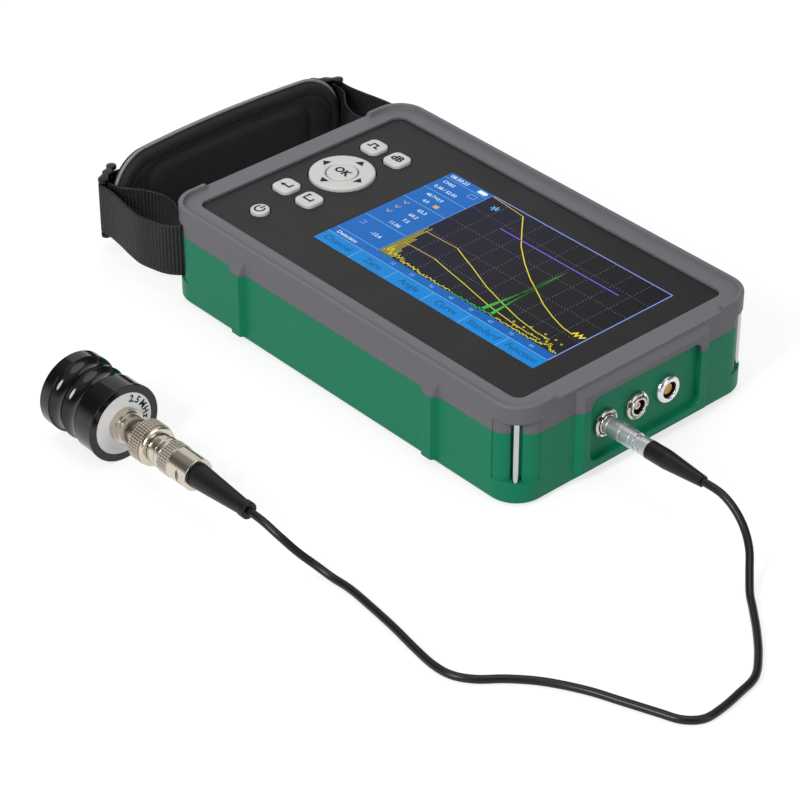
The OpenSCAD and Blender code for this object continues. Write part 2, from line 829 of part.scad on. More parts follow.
// Square key: cap with a chamfered top, hidden flange and plunger
module square_key() {
    color([0.87, 0.87, 0.86]) {
        translate([0, 0, key_lip_z]) plate(key_s, key_s, key_r, key_z1 - key_edge - key_lip_z);
        translate([0, 0, key_z1 - key_edge - run_gap])
            plate(key_s - key_edge, key_s - key_edge, key_r - key_edge / 2, key_edge + run_gap);
        translate([0, 0, key_lip_z]) plate(key_s + 2 * key_lip, key_s + 2 * key_lip, key_r, key_lip_t);
        translate([0, 0, key_foot_z]) cylinder(h = key_lip_z - key_foot_z + key_lip_t / 2, d = plunger_d);
    }
}

module round_key(d, lip_z0, lip_t, lip_d) {
    color([0.87, 0.87, 0.86]) {
        translate([0, 0, lip_z0]) cylinder(h = key_z1 - key_edge - lip_z0, d = d);
        translate([0, 0, key_z1 - key_edge]) cylinder(h = key_edge, d1 = d, d2 = d - 2 * key_edge);
        translate([0, 0, lip_z0]) cylinder(h = lip_t, d = lip_d);
        translate([0, 0, key_foot_z]) cylinder(h = lip_z0 - key_foot_z + lip_t / 2, d = plunger_d);
    }
}

module key_at(row, col) {
    translate([key_x + col * key_pitch / 2, ring_y + row * key_row, 0]) square_key();
}

module power_key() {
    power_place() round_key(power_d, key_lip_z, key_lip_t, power_d + 2 * key_lip);
}

module ok_key() {
    ring_place() round_key(ok_d, ok_lip_z, ok_lip_t, ok_d + 2 * key_edge + run_gap);
}

// Four-way ring, tilting on the pivot ring below it
module nav_ring() {
    color([0.87, 0.87, 0.86]) ring_place() difference() {
        union() {
            translate([0, 0, ring_lip_z]) cylinder(h = key_z1 - key_edge - ring_lip_z, d = ring_d);
            translate([0, 0, key_z1 - key_edge])
                cylinder(h = key_edge, d1 = ring_d, d2 = ring_d - 2 * key_edge);
            translate([0, 0, ring_lip_z]) cylinder(h = ring_lip_t, d = ring_d + 2 * key_lip);
        }
        translate([0, 0, ring_lip_z - over]) cylinder(h = key_z1 - ring_lip_z + 2 * over, d = ring_bore_d);
    }
}

// Gimbal ring: it rocks on two round feet along Y and carries the four-way ring on two round
// bumps along X, the middle of each on its hinge line
module nav_pivot() {
    bump_l = (pivot_d - pivot_bore_d) / 2 - 2 * slip;
    bump_r = ring_lip_z - pivot_z - pivot_t - run_gap;
    foot_r = pivot_z - key_board_z - board_t - mat_t - run_gap;
    color([0.3, 0.3, 0.3]) ring_place() {
        translate([0, 0, pivot_z]) difference() {
            cylinder(h = pivot_t, d = pivot_d);
            translate([0, 0, -over]) cylinder(h = pivot_t + 2 * over, d = pivot_bore_d);
        }
        for (a = [0, 180]) rotate(a) {
            translate([pivot_bore_d / 2 + slip, 0, pivot_z + pivot_t]) bar(0, bump_l, 2 * bump_r);
            translate([0, pivot_bore_d / 2 + slip, pivot_z]) rotate(90) bar(0, bump_l, 2 * foot_r);
        }
    }
}

// Silicone mat with a dome under each key and four under the ring
module key_mat() {
    mat_z = key_board_z + board_t;
    color([0.75, 0.75, 0.7]) {
        translate([key_x, key_board_y, mat_z])
            plate(key_board_l - 2 * mat_in, key_board_w - 2 * mat_in, key_r, mat_t);
        translate([0, 0, mat_z + mat_t / 2]) {
            key_places() cylinder(h = mat_t / 2 + dome_h, d = dome_d);
            power_place() cylinder(h = mat_t / 2 + dome_h, d = dome_d);
            ring_place() cylinder(h = mat_t / 2 + dome_h, d = dome_d);
            for (a = [0:90:270])
                ring_place() rotate(a) translate([nav_dome_r, 0, 0])
                    cylinder(h = mat_t / 2 + dome_h, d = nav_dome_d);
        }
    }
}

module key_board() {
    color([0.1, 0.35, 0.2]) translate([key_x, key_board_y, key_board_z])
        plate(key_board_l, key_board_w, key_r, board_t);
}

module board_spacers() {
    spacer_z = board_z + board_t;
    color([0.8, 0.7, 0.4]) for (sx = [-1, 1], sy = [-1, 1])
        translate([key_x + sx * spacer_dx, key_board_y + sy * spacer_dy, spacer_z])
            cylinder(h = key_board_z - spacer_z, d = spacer_d);
}

// Main board with its chips, resting on the tub's posts
module main_board() {
    chip_shares = [[-0.30, 0.30, 0.09], [-0.08, 0.22, 0.14], [0.16, 0.18, 0.10], [0.14, -0.22, 0.12],
                  [0.34, 0.05, 0.08], [0.32, -0.28, 0.07]];
    color([0.1, 0.4, 0.25]) difference() {
        translate([board_x, 0, board_z]) plate(board_l, board_w, key_r, board_t);
        for (sx = [-1, 1], sy = [-1, 1])
            translate([board_x + sx * board_post_x, sy * board_post_y, board_z - over])
                cylinder(h = board_t + 2 * over, d = board_screw_d + slip);
    }
    color([0.12, 0.12, 0.13]) for (c = chip_shares)
        translate([board_x + c[0] * board_l, c[1] * board_w, board_z + board_t + chip_h / 2 - run_gap])
            cube([c[2] * board_l, c[2] * board_l, chip_h + run_gap], center = true);
}

module screw(d, head_d, head_h, l) {
    cylinder(h = l, d = d);
    translate([0, 0, l - head_h]) cylinder(h = head_h, d = head_d);
}

module board_screws() {
    color([0.8, 0.8, 0.8]) for (sx = [-1, 1], sy = [-1, 1])
        translate([board_x + sx * board_post_x, sy * board_post_y,
                   board_z + board_t + board_screw_head_h - board_screw_l])
            screw(board_screw_d - 2 * run_gap, board_screw_head_d, board_screw_head_h, board_screw_l);
}

module buzzer() {
    color([0.1, 0.1, 0.1]) translate([buzzer_x, buzzer_y, board_z + board_t]) difference() {
        cylinder(h = buzzer_h, d = buzzer_d);
        translate([0, 0, buzzer_h / 2]) cylinder(h = buzzer_h, d = buzzer_d / 6);
    }
}

// Transmitter and receiver board standing behind the sockets
module pulser_board() {
    color([0.1, 0.4, 0.25]) translate([socket_rear_x - board_t, -pulser_w / 2, pulser_z0])
        cube([board_t, pulser_w, pulser_z1 - pulser_z0 + socket_d / 2]);
}

module pulser_shield() {
    color([0.75, 0.75, 0.77]) translate([socket_rear_x - board_t - shield_l, -shield_w / 2, pulser_z0])
        difference() {
            cube([shield_l, shield_w, shield_h]);
            translate([wall / 3, wall / 3, wall / 3])
                cube([shield_l, shield_w - 2 * wall / 3, shield_h - 2 * wall / 3]);
        }
}

module battery_pack() {
    color([0.2, 0.3, 0.55]) translate([door_x, 0, door_t])
        plate(bay_l - 2 * slip, bay_w - 2 * slip, bay_wall, battery_h);
}

module battery_door() {
    color([0.15, 0.45, 0.34]) translate([door_x, 0, 0]) difference() {
        plate(door_l, door_w, door_r, door_t);
        for (sx = [-1, 1], sy = [-1, 1])
            translate([sx * door_screw_x, sy * door_screw_y, -over]) {
                cylinder(h = door_t + 2 * over, d = door_screw_d + slip);
                cylinder(h = door_head_h + screw_sink + over, d = door_head_d + slip);
            }
    }
}

module door_screws() {
    color([0.75, 0.75, 0.75]) for (sx = [-1, 1], sy = [-1, 1])
        translate([door_x + sx * door_screw_x, sy * door_screw_y, door_screw_l])
            mirror([0, 0, 1])
                screw(door_screw_d - 2 * run_gap, door_head_d, door_head_h, door_screw_l - screw_sink);
}

module case_screws() {
    color([0.75, 0.75, 0.75]) at_bosses() difference() {
        translate([0, 0, ceiling_z - over]) mirror([0, 0, 1])
            screw(screw_d - 2 * run_gap, screw_head_d, screw_head_h, ceiling_z - over - screw_sink);
        cylinder(h = 1.5 * screw_head_h / 2 + screw_sink, d = screw_d * 0.7, $fn = 6);
    }
}

module rubber_feet() {
    color([0.1, 0.1, 0.1]) for (sx = [-1, 1], sy = [-1, 1])
        translate([sx * foot_x, sy * foot_y, -foot_out]) cylinder(h = foot_sink + foot_out, d = foot_d);
}

// Four steel pins, one in each corner pocket
module strap_pins() {
    color([0.8, 0.8, 0.8]) at_pins() translate([0, 0, pocket_z - pin_seat])
        cylinder(h = pocket_h + 2 * pin_seat, d = pin_d);
}

// Coax socket shell with its round floor; the insulator stands in the middle
module coax_sockets() {
    color([0.8, 0.8, 0.78]) for (i = [0, 1]) at_socket(i) difference() {
        bar(socket_rear_x, plug_x, socket_d);
        bar(plug_x - socket_floor, plug_x + over, socket_bore_d);
    }
}

module data_socket() {
    color([0.85, 0.85, 0.86]) at_socket(2) difference() {
        union() {
            bar(socket_rear_x, plug_x, socket_d);
            bar(case_l / 2, case_l / 2 + data_flange_t, data_flange_d);
        }
        bar(plug_x - data_floor, plug_x + over, data_bore_d);
    }
}

module data_insert() {
    color([0.85, 0.6, 0.3]) at_socket(2) bar(plug_x - data_floor, plug_x - data_insert_drop, data_insert_d);
}

module data_pins() {
    color([0.9, 0.75, 0.3]) at_socket(2) for (k = [0:data_pin_count - 1])
        rotate([k * 360 / data_pin_count, 0, 0]) translate([0, data_pin_ring, 0])
            bar(plug_x - data_insert_drop, plug_x - data_insert_drop + data_pin_out, data_pin_d);
}

// Slotted ring nuts clamp the two coax sockets from outside
module socket_ring_nuts() {
    color([0.8, 0.8, 0.78]) for (i = [0, 1]) at_socket(i) difference() {
        union() {
            bar(case_l / 2, case_l / 2 + ring_nut_t - ring_nut_edge, ring_nut_d);
            cone_bar(case_l / 2 + ring_nut_t - ring_nut_edge, case_l / 2 + ring_nut_t,
                     ring_nut_d, ring_nut_d - 2 * ring_nut_edge);
        }
        bar(case_l / 2 - over, case_l / 2 + ring_nut_t + over, socket_d);
        for (a = [0, 90]) rotate([a + ring_nut_turn, 0, 0])
            translate([case_l / 2 + ring_nut_t - ring_slot_t, -ring_nut_d, -ring_slot_w / 2])
                cube([ring_slot_t + over, 2 * ring_nut_d, ring_slot_w]);
    }
}

module socket_back_nuts() {
    color([0.75, 0.75, 0.73]) for (i = [0:2]) at_socket(i) difference() {
        translate([case_l / 2 - wall - back_nut_t, 0, 0]) rotate([0, 90, 0])
            cylinder(h = back_nut_t, d = back_nut_d, $fn = 6);
        bar(case_l / 2 - wall - back_nut_t - over, case_l / 2 - wall + over, socket_d);
    }
}

module socket_insulators() {
    color([0.9, 0.9, 0.88]) for (i = [0, 1]) at_socket(i) difference() {
        bar(plug_x - socket_floor, plug_x - insulator_drop, insulator_d);
        bar(plug_x - socket_floor + over, plug_x, contact_d);
    }
}

module socket_contacts() {
    color([0.85, 0.6, 0.35]) for (i = [0, 1]) at_socket(i) difference() {
        bar(plug_x - socket_floor + over, plug_x - insulator_drop, contact_d);
        bar(plug_x - socket_floor + 2 * over, plug_x, contact_bore_d);
    }
}

// Smooth curve through hand-set points, with n steps to each span
function spline_point(a, b, c, d, t) =
    (2 * b + (c - a) * t + (2 * a - 5 * b + 4 * c - d) * t ^ 2 + (3 * b - a - 3 * c + d) * t ^ 3) / 2;
function spline(p, n) = [
    for (i = [0:len(p) - 2], k = [0:n - 1])
        spline_point(p[max(i - 1, 0)], p[i], p[i + 1], p[min(i + 2, len(p) - 1)], k / n)];
function unit(v) = v / norm(v);
function span_dir(p, i) = unit(p[min(i + 1, len(p) - 1)] - p[max(i - 1, 0)]);
function backwards(p) = [for (i = [len(p) - 1:-1:0]) p[i]];
function bow_at(y) = pad_x + bow_r - sqrt(bow_r ^ 2 - y ^ 2);

// Plan of the webbing on the side of -Y, in the buckle's own directions and along the loop
function buckle_at(p, q) = [buckle_x - p * sin(buckle_turn) - q * cos(buckle_turn),
                            buckle_y + p * cos(buckle_turn) - q * sin(buckle_turn)];
function round_bar(c, r, a) = buckle_at(c + r * cos(a), r * sin(a));
function round_pin(a) = [-pin_x - wrap_r * cos(a), -pin_y - wrap_r * sin(a)];
function beside_pin(s) = [-pin_x - s[0] * corner_r, -pin_y - s[1] * corner_r];
function along(a, b, s, side) =
    let (d = b - a) a + s[0] * d + side * s[1] * [-d[1], d[0]];
inner_end = round_bar(-buckle_pitch, bar_r, -cross_turn);
outer_end = round_bar(-buckle_pitch, bar_r, 180 - leave_turn);
pin_at = [-pin_x, -pin_y];
half_path = concat(
    [for (a = [-100:38:180 - cross_turn]) round_bar(0, bar_r, a)],
    spline(concat([inner_end], [for (s = inner_shares) along(pin_at, inner_end, s, -1)],
        [for (s = inner_lead_shares) beside_pin(s)], [round_pin(285)]), 2),
    [for (a = [285:-30:195]) round_pin(a)],
    spline(concat([round_pin(165)], [for (s = outer_lead_shares) beside_pin(s)],
        [for (s = outer_shares) along(pin_at, outer_end, s, 1)], [outer_end]), 2),
    [for (a = [180 - leave_turn:-16:180 - crest_turn]) round_bar(-buckle_pitch, bar_r, a)],
    [for (a = [180 - crest_turn:-17:dive_turn]) round_bar(0, over_r, a)],
    [for (a = [dive_turn - 180:20:-90]) round_bar(buckle_pitch, bar_r, a)],
    [for (y = [-0.78:0.13:-0.1])
        [bow_at(y * pad_half_l) - pad_back - webbing_t / 2 - slip / 2, y * pad_half_l]]);
webbing_path = concat(half_path, [for (p = backwards(half_path)) [p[0], -p[1]]]);

module strap_webbing() {
    n = len(webbing_path) - 1;
    side = [for (i = [0:n]) let (d = span_dir(webbing_path, i)) [-d[1], d[0]] * webbing_t / 2];
    color([0.12, 0.12, 0.12]) translate([0, 0, webbing_z]) linear_extrude(webbing_w)
        polygon(concat([for (i = [0:n]) webbing_path[i] + side[i]],
                       [for (i = [n:-1:0]) webbing_path[i] - side[i]]));
}

module strap_buckles() {
    color([0.1, 0.1, 0.1]) for (sy = [0, 1]) mirror([0, sy, 0])
        translate([buckle_x, buckle_y, buckle_z]) rotate(90 + buckle_turn) {
            for (c = [-1, 0, 1]) translate([c * buckle_pitch, 0, 0]) cylinder(h = buckle_h, d = buckle_bar);
            for (z = [0, buckle_h - buckle_end]) translate([-buckle_pitch, -buckle_bar / 2, z])
                cube([2 * buckle_pitch, buckle_bar, buckle_end]);
        }
}

// Outline of the pad in its own plane, drawn in by an inset, one turn against the clock
function pad_ring(inset) =
    let (r = pad_corner_r - inset, a = pad_half_l - pad_corner_r, b = pad_half_h - pad_corner_r)
    concat([for (t = [0:pad_step:90]) [a + r * cos(t), b + r * sin(t)]],
           [for (k = [1:pad_side_steps - 1]) [a - 2 * a * k / pad_side_steps, b + r]],
           [for (t = [90:pad_step:180]) [-a + r * cos(t), b + r * sin(t)]],
           [for (t = [180:pad_step:270]) [-a + r * cos(t), -b + r * sin(t)]],
           [for (k = [1:pad_side_steps - 1]) [-a + 2 * a * k / pad_side_steps, -b - r]],
           [for (t = [270:pad_step:360]) [a + r * cos(t), -b + r * sin(t)]]);

// Padded hand strap: rounded crown, stitched border channel and raised middle field
module strap_pad() {
    rings = len(pad_inset_shares);
    n = len(pad_ring(0));
    skin = [for (side = [1, -1], k = [0:rings - 1])
        for (p = pad_ring(pad_inset_shares[k] * pad_corner_r))
            [bow_at(p[0]) + side * (side > 0 ? pad_front_shares[k] : pad_back_shares[k]) * pad_t / 2,
             p[0], pad_z + p[1]]];
    back = rings * n;
    top = (rings - 1) * n;
    front_skin = [for (k = [0:rings - 2], i = [0:n - 1])
        let (j = (i + 1) % n, a = k * n) each [[a + i, a + n + j, a + j], [a + i, a + n + i, a + n + j]]];
    back_skin = [for (f = front_skin) [back + f[0], back + f[2], back + f[1]]];
    faces = concat(front_skin, back_skin,
        [for (i = [0:n - 1]) let (j = (i + 1) % n) [i, j, back + j]],
        [for (i = [0:n - 1]) let (j = (i + 1) % n) [i, back + j, back + i]],
        [for (i = [0:n / 2 - 2]) [top + i, top + n - 1 - i, top + n - 2 - i]],
        [for (i = [0:n / 2 - 2]) [top + i, top + n - 2 - i, top + i + 1]],
        [for (i = [0:n / 2 - 2]) [back + top + i, back + top + n - 2 - i, back + top + n - 1 - i]],
        [for (i = [0:n / 2 - 2]) [back + top + i, back + top + i + 1, back + top + n - 2 - i]]);
    color([0.15, 0.15, 0.15]) polyhedron(points = skin, faces = faces, convexity = 6);
}

// Cord piping round the pad's edge
module pad_piping() {
    sides = 8;
    line = pad_ring(-piping_d / 2 - run_gap);
    n = len(line);
    skin = [for (i = [0:n - 1])
        let (d = unit(line[(i + 1) % n] - line[(i + n - 1) % n]), c = line[i])
        for (k = [0:sides - 1])
            let (a = k * 360 / sides, e = piping_d / 2 * sin(a))
            [bow_at(c[0]) + piping_d / 2 * cos(a), c[0] + e * d[1], pad_z + c[1] - e * d[0]]];
    faces = [for (i = [0:n - 1], k = [0:sides - 1])
        let (j = (i + 1) % n, m = (k + 1) % sides)
        each [[i * sides + k, j * sides + m, j * sides + k],
              [i * sides + k, i * sides + m, j * sides + m]]];
    color([0.6, 0.6, 0.6]) polyhedron(points = skin, faces = faces, convexity = 6);
}

module at_plug() {
    translate([0, plug_y, socket_z]) children();
}

module at_probe() {
    translate([probe_x, probe_y, probe_z]) children();
}

// Ring groove of a given width and depth round a bar of diameter d
module ring_groove(x, w, d, depth) {
    difference() {
        bar(x, x + w, d + over);
        bar(x - over, x + w + over, d - 2 * depth);
    }
}

// Push-on coax plug in the first socket: nose, core and neck
module plug_shell() {
    color([0.8, 0.8, 0.82]) at_plug() difference() {
        union() {
            bar(plug_x - plug_nose_l, plug_x + run_gap, plug_nose_d);
            bar(plug_x, collet_x, plug_core_d);
        }
        bar(plug_x - plug_nose_l - over, plug_x - insulator_drop + slip, plug_nose_bore);
    }
}

module plug_pin() {
    color([0.9, 0.75, 0.4]) at_plug()
        bar(plug_x - insulator_drop - plug_pin_l, plug_x - insulator_drop + slip, plug_pin_d);
}

// Latch sleeve, drawn back to free the plug
module plug_sleeve() {
    color([0.85, 0.85, 0.86]) at_plug() difference() {
        bar(sleeve_x, sleeve_x + plug_sleeve_l, plug_d);
        bar(sleeve_x - over, sleeve_x + plug_sleeve_l + over, plug_core_d + 2 * run_gap);
        for (x = [sleeve_x + over, sleeve_x + plug_sleeve_l / 2, sleeve_x + plug_sleeve_l - 2 * over])
            ring_groove(x, groove_w, plug_d, groove_t);
    }
}

module plug_collet_nut() {
    color([0.82, 0.82, 0.83]) at_plug() {
        bar(collet_x, collet_x + collet_l / 4, collet_d);
        intersection() {
            bar(collet_x + collet_l / 4, boot_x, collet_d);
            translate([collet_x, -collet_flat / 2, -collet_d]) cube([collet_l, collet_flat, 2 * collet_d]);
        }
    }
}

// Bend relief of the plug: straight at first, then a plain taper to the cord
module plug_boot() {
    taper_x = boot_x + plug_boot_straight;
    color([0.1, 0.1, 0.1]) at_plug() {
        bar(boot_x, taper_x + run_gap, plug_boot_d);
        cone_bar(taper_x, plug_end_x, plug_boot_d, plug_boot_tail_d);
    }
}

// Coax cord as a tube through its route
module probe_cord() {
    ends = [[plug_end_x, plug_y, socket_z], [probe_x + bnc_end_s, probe_y, probe_z]];
    way = concat([ends[0]], cord_route, [ends[1]]);
    line = concat(spline(way, cord_steps), [ends[1]]);
    n = len(line);
    skin = [for (i = [0:n - 1])
        let (d = i == 0 ? [1, 0, 0] : i == n - 1 ? [-1, 0, 0] : span_dir(line, i),
             across = unit(cross(d, [0, 0, 1])), up = cross(across, d))
        for (k = [0:cord_sides - 1])
            let (a = (k + 0.5) * 360 / cord_sides)
            line[i] + cord_d / 2 * (cos(a) * across + sin(a) * up)];
    last = (n - 1) * cord_sides;
    faces = concat(
        [for (i = [0:n - 2], k = [0:cord_sides - 1])
            let (a = i * cord_sides, m = (k + 1) % cord_sides)
            each [[a + k, a + cord_sides + m, a + m], [a + k, a + cord_sides + k, a + cord_sides + m]]],
        [[for (k = [0:cord_sides - 1]) k]],
        [[for (k = [cord_sides - 1:-1:0]) last + k]]);
    color([0.1, 0.1, 0.1]) polyhedron(points = skin, faces = faces, convexity = 8);
}

// Bend relief of the bayonet plug: a plain taper and a ring with broken edges at its end
module bnc_boot() {
    ring_end_s = bnc_end_s - groove_t;
    color([0.1, 0.1, 0.1]) at_probe() {
        bar(back_nut_end_s - bnc_nut_floor, back_nut_end_s + over, bnc_boot_d);
        cone_bar(back_nut_end_s + run_gap, bnc_boot_ring_s, bnc_boot_swell_d, bnc_boot_neck_d);
        cone_bar(bnc_boot_ring_s, bnc_boot_ring_s + groove_w, bnc_boot_neck_d, bnc_boot_ring_d);
        bar(bnc_boot_ring_s + groove_w, ring_end_s, bnc_boot_ring_d);
        cone_bar(ring_end_s, bnc_end_s, bnc_boot_ring_d, bnc_boot_ring_d - 2 * groove_t);
    }
}

// Clamping nut at the back of the bayonet plug, with two flats
module bnc_back_nut() {
    flat_s = back_nut_end_s - body_end_s;
    color([0.8, 0.78, 0.74]) at_probe() difference() {
        bar(body_end_s, back_nut_end_s, bnc_nut_d);
        bar(back_nut_end_s - bnc_nut_floor, back_nut_end_s + over, bnc_nut_bore - 2 * run_gap);
        for (sy = [0, 1]) mirror([0, sy, 0])
            translate([back_nut_end_s - flat_s / 2, bnc_nut_flat / 2, -bnc_nut_d])
                cube([flat_s / 3, bnc_nut_d, 2 * bnc_nut_d]);
    }
}

module bnc_body() {
    web_s = coupling_s1 - coupling_web;
    color([0.8, 0.78, 0.74]) at_probe() difference() {
        union() {
            bar(body_nose_s, web_s, body_nose_d);
            bar(jack_l + slip, web_s - run_gap, coupling_inner_d - 2 * slip);
            bar(web_s - run_gap, collar_s, body_neck_d);
            bar(collar_s, body_s, collar_d);
            bar(body_s, body_end_s, body_d);
        }
        bar(body_nose_s - over, jack_l, body_nose_bore);
        bar(jack_l - over, bnc_pin_end, bnc_pin_d);
        for (s = [body_s + over / 2, knurl_s]) ring_groove(s, groove_w, body_d, groove_t);
    }
}

// Bayonet coupling nut, turned a quarter to lock on the jack's two lugs
module bnc_coupling() {
    color([0.82, 0.8, 0.77]) at_probe() difference() {
        union() {
            bar(coupling_s0, coupling_s0 + coupling_knurl, coupling_d);
            bar(coupling_s0 + coupling_knurl, coupling_s1, coupling_ring_d);
        }
        bar(coupling_s0 - over, coupling_s1 - coupling_web, coupling_inner_d);
        bar(coupling_s0, coupling_s1 + over, body_neck_d + 2 * run_gap);
    }
}

module bnc_pin() {
    color([0.9, 0.75, 0.4]) at_probe() bar(bnc_pin_s, bnc_pin_end, bnc_pin_d);
}

module probe_jack() {
    color([0.8, 0.78, 0.74]) at_probe() difference() {
        union() {
            bar(-jack_tail, jack_l, jack_d);
            bar(jack_nut_t, jack_nut_t + jack_rim_t, jack_rim_d);
            translate([lug_s, 0, -jack_d / 2 - lug_out]) cylinder(h = jack_d + 2 * lug_out, d = lug_d);
        }
        bar(jack_floor, jack_l + over, jack_bore_d);
    }
}

module jack_nut() {
    color([0.8, 0.78, 0.74]) at_probe() difference() {
        bar(0, jack_nut_t, jack_nut_d);
        bar(-over, jack_nut_t + over, jack_d);
    }
}

module jack_insulator() {
    color([0.92, 0.92, 0.9]) at_probe() difference() {
        bar(jack_floor, jack_floor + jack_insulator_l, jack_insulator_d);
        bar(jack_floor + over, jack_l, bnc_pin_d + 2 * run_gap);
    }
}

module probe_label() {
    color([0.93, 0.93, 0.92]) at_probe() difference() {
        bar(-label_sink, 0, label_d);
        bar(-label_sink - over, over, jack_d);
    }
}

// Steel probe sleeve: flange, two coves with a sharp ridge between, band and front ring
module cove(s0, s1) {
    half = (s1 - s0) / 2;
    sag = (cove_rim_d - cove_d) / 2;
    cove_r = (half ^ 2 + sag ^ 2) / (2 * sag);
    translate([(s0 + s1) / 2 - probe_l, 0, 0]) rotate([0, 90, 0]) rotate_extrude()
        translate([cove_d / 2 + cove_r, 0]) circle(cove_r);
}

module probe_sleeve() {
    color([0.82, 0.82, 0.83]) at_probe() difference() {
        union() {
            bar(-probe_l, flange_l - probe_l, probe_d);
            difference() {
                bar(flange_l - probe_l, rib_b - probe_l, cove_rim_d);
                cove(flange_l, rib_a);
                cove(rib_a, rib_b);
            }
            bar(rib_b - probe_l, -ring_l, band_d);
            bar(-ring_l, 0, probe_d);
        }
        bar(-probe_l - over, -jack_tail, probe_bore_d);
        bar(-jack_tail - over, over, jack_d);
        bar(-label_sink, over, label_d);
    }
}

// Damping block behind the piezo element
module probe_core() {
    color([0.35, 0.3, 0.3]) at_probe() bar(-probe_l + wear_t + element_t, -jack_tail, probe_bore_d);
}

module probe_element() {
    color([0.85, 0.8, 0.65]) at_probe() bar(-probe_l + wear_t, -probe_l + wear_t + element_t, element_d);
}

module wear_plate() {
    color([0.3, 0.3, 0.32]) at_probe() bar(-probe_l, -probe_l + wear_t, probe_bore_d);
}

module return_key() {
    key_at(-1, -1);
}

module gate_key() {
    key_at(-1, 1);
}

module wave_key() {
    key_at(1, -1);
}

module gain_key() {
    key_at(1, 1);
}

lower_case();
upper_frame();
case_gasket();
front_panel();
display_window();
display_module();
display_ribbon();
power_key();
return_key();
gate_key();
wave_key();
gain_key();
nav_ring();
nav_pivot();
ok_key();
key_mat();
key_board();
board_spacers();
main_board();
board_screws();
buzzer();
pulser_board();
pulser_shield();
battery_pack();
battery_door();
door_screws();
case_screws();
rubber_feet();
strap_pins();
coax_sockets();
data_socket();
data_insert();
data_pins();
socket_ring_nuts();
socket_back_nuts();
socket_insulators();
socket_contacts();
strap_pad();
pad_piping();
strap_webbing();
strap_buckles();
plug_shell();
plug_sleeve();
plug_pin();
plug_collet_nut();
plug_boot();
probe_cord();
bnc_boot();
bnc_back_nut();
bnc_body();
bnc_coupling();
bnc_pin();
probe_jack();
jack_nut();
jack_insulator();
probe_label();
probe_sleeve();
probe_core();
probe_element();
wear_plate();
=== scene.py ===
import math
import random

import bmesh
import bpy
from mathutils import Matrix, Vector


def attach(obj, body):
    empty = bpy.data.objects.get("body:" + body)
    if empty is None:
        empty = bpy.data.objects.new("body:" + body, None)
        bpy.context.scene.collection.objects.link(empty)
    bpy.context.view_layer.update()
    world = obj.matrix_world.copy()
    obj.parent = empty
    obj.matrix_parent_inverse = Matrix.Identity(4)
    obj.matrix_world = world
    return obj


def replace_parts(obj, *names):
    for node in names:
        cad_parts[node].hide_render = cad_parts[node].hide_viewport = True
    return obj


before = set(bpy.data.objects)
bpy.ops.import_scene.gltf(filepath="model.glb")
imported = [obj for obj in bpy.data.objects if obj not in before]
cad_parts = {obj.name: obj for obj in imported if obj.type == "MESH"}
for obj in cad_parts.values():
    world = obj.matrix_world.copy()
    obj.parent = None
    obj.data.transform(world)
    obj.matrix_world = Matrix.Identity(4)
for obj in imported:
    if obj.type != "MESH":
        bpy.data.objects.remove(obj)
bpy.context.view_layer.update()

# Camera: a long lens off the near right corner of the bench, looking down on the part. Its place,
# its turn and its lens follow from edges of the case that are known to be square to each other.
scene = bpy.context.scene


def place_in(name, data):
    """Make an object of this data and put it in the scene."""
    thing = bpy.data.objects.new(name, data)
    scene.collection.objects.link(thing)
    return thing


camera = place_in("camera", bpy.data.cameras.new("camera"))
camera.data.lens = 136.57
camera.data.sensor_width = 36
camera.location = (0.638505, -0.596208, 0.576227)
swing, tilt = math.radians(48.178), math.radians(34.62)
sight = Vector((-math.sin(swing) * math.cos(tilt), math.cos(swing) * math.cos(tilt), -math.sin(tilt)))
camera.rotation_mode = "QUATERNION"
camera.rotation_quaternion = sight.to_track_quat("-Z", "Y")
scene.camera = camera
scene.view_settings.view_transform = "Standard"

# Probe lead: thin coax with an extruded black vinyl jacket. It leaves the plug's boot, drops to
# the bench, runs round in one loose bend and climbs into the boot of the bayonet plug.
MM = 0.001


def ink(red, green, blue):
    """A colour as a swatch card gives it, 0 to 255, for the shader."""
    card = [c / 255 for c in (red, green, blue)]
    return tuple(c / 12.92 if c <= 0.04045 else ((c + 0.055) / 1.055) ** 2.4 for c in card) + (1.0,)


def put(tree, kind, feeds=None, **settings):
    """Add one shader node; a socket fed to it is linked and anything else is set."""
    node = tree.nodes.new(kind)
    for key, value in settings.items():
        setattr(node, key, value)
    for key, value in (feeds or {}).items():
        if isinstance(value, bpy.types.NodeSocket):
            tree.links.new(value, node.inputs[key])
        else:
            node.inputs[key].default_value = value
    return node


def sums(tree, kind, a, b=0.0, c=0.0):
    """One arithmetic step on a value."""
    return put(tree, "ShaderNodeMath", {0: a, 1: b, 2: c}, operation=kind).outputs[0]


def effect(name, inputs, outputs):
    """Open a shader group with named inputs and outputs."""
    tree = bpy.data.node_groups.new(name, "ShaderNodeTree")
    kinds = {"colour": "NodeSocketColor", "value": "NodeSocketFloat", "vector": "NodeSocketVector"}
    for label, kind in inputs.items():
        tree.interface.new_socket(label, in_out="INPUT", socket_type=kinds[kind])
    for label, kind in outputs.items():
        tree.interface.new_socket(label, in_out="OUTPUT", socket_type=kinds[kind])
    return tree, put(tree, "NodeGroupInput").outputs, put(tree, "NodeGroupOutput").inputs


def tint(tree, colour, factor):
    """A colour made lighter or darker by a factor."""
    return put(tree, "ShaderNodeVectorMath", {0: colour, 3: factor}, operation="SCALE").outputs[0]


def place_on(tree):
    """Place on the piece, in metres."""
    return put(tree, "ShaderNodeTexCoord").outputs["Object"]


def noise(tree, place, scale, detail):
    """Soft random pattern with so many swells to the metre."""
    return put(tree, "ShaderNodeTexNoise", {"Vector": place, "Scale": scale, "Detail": detail}).outputs["Fac"]


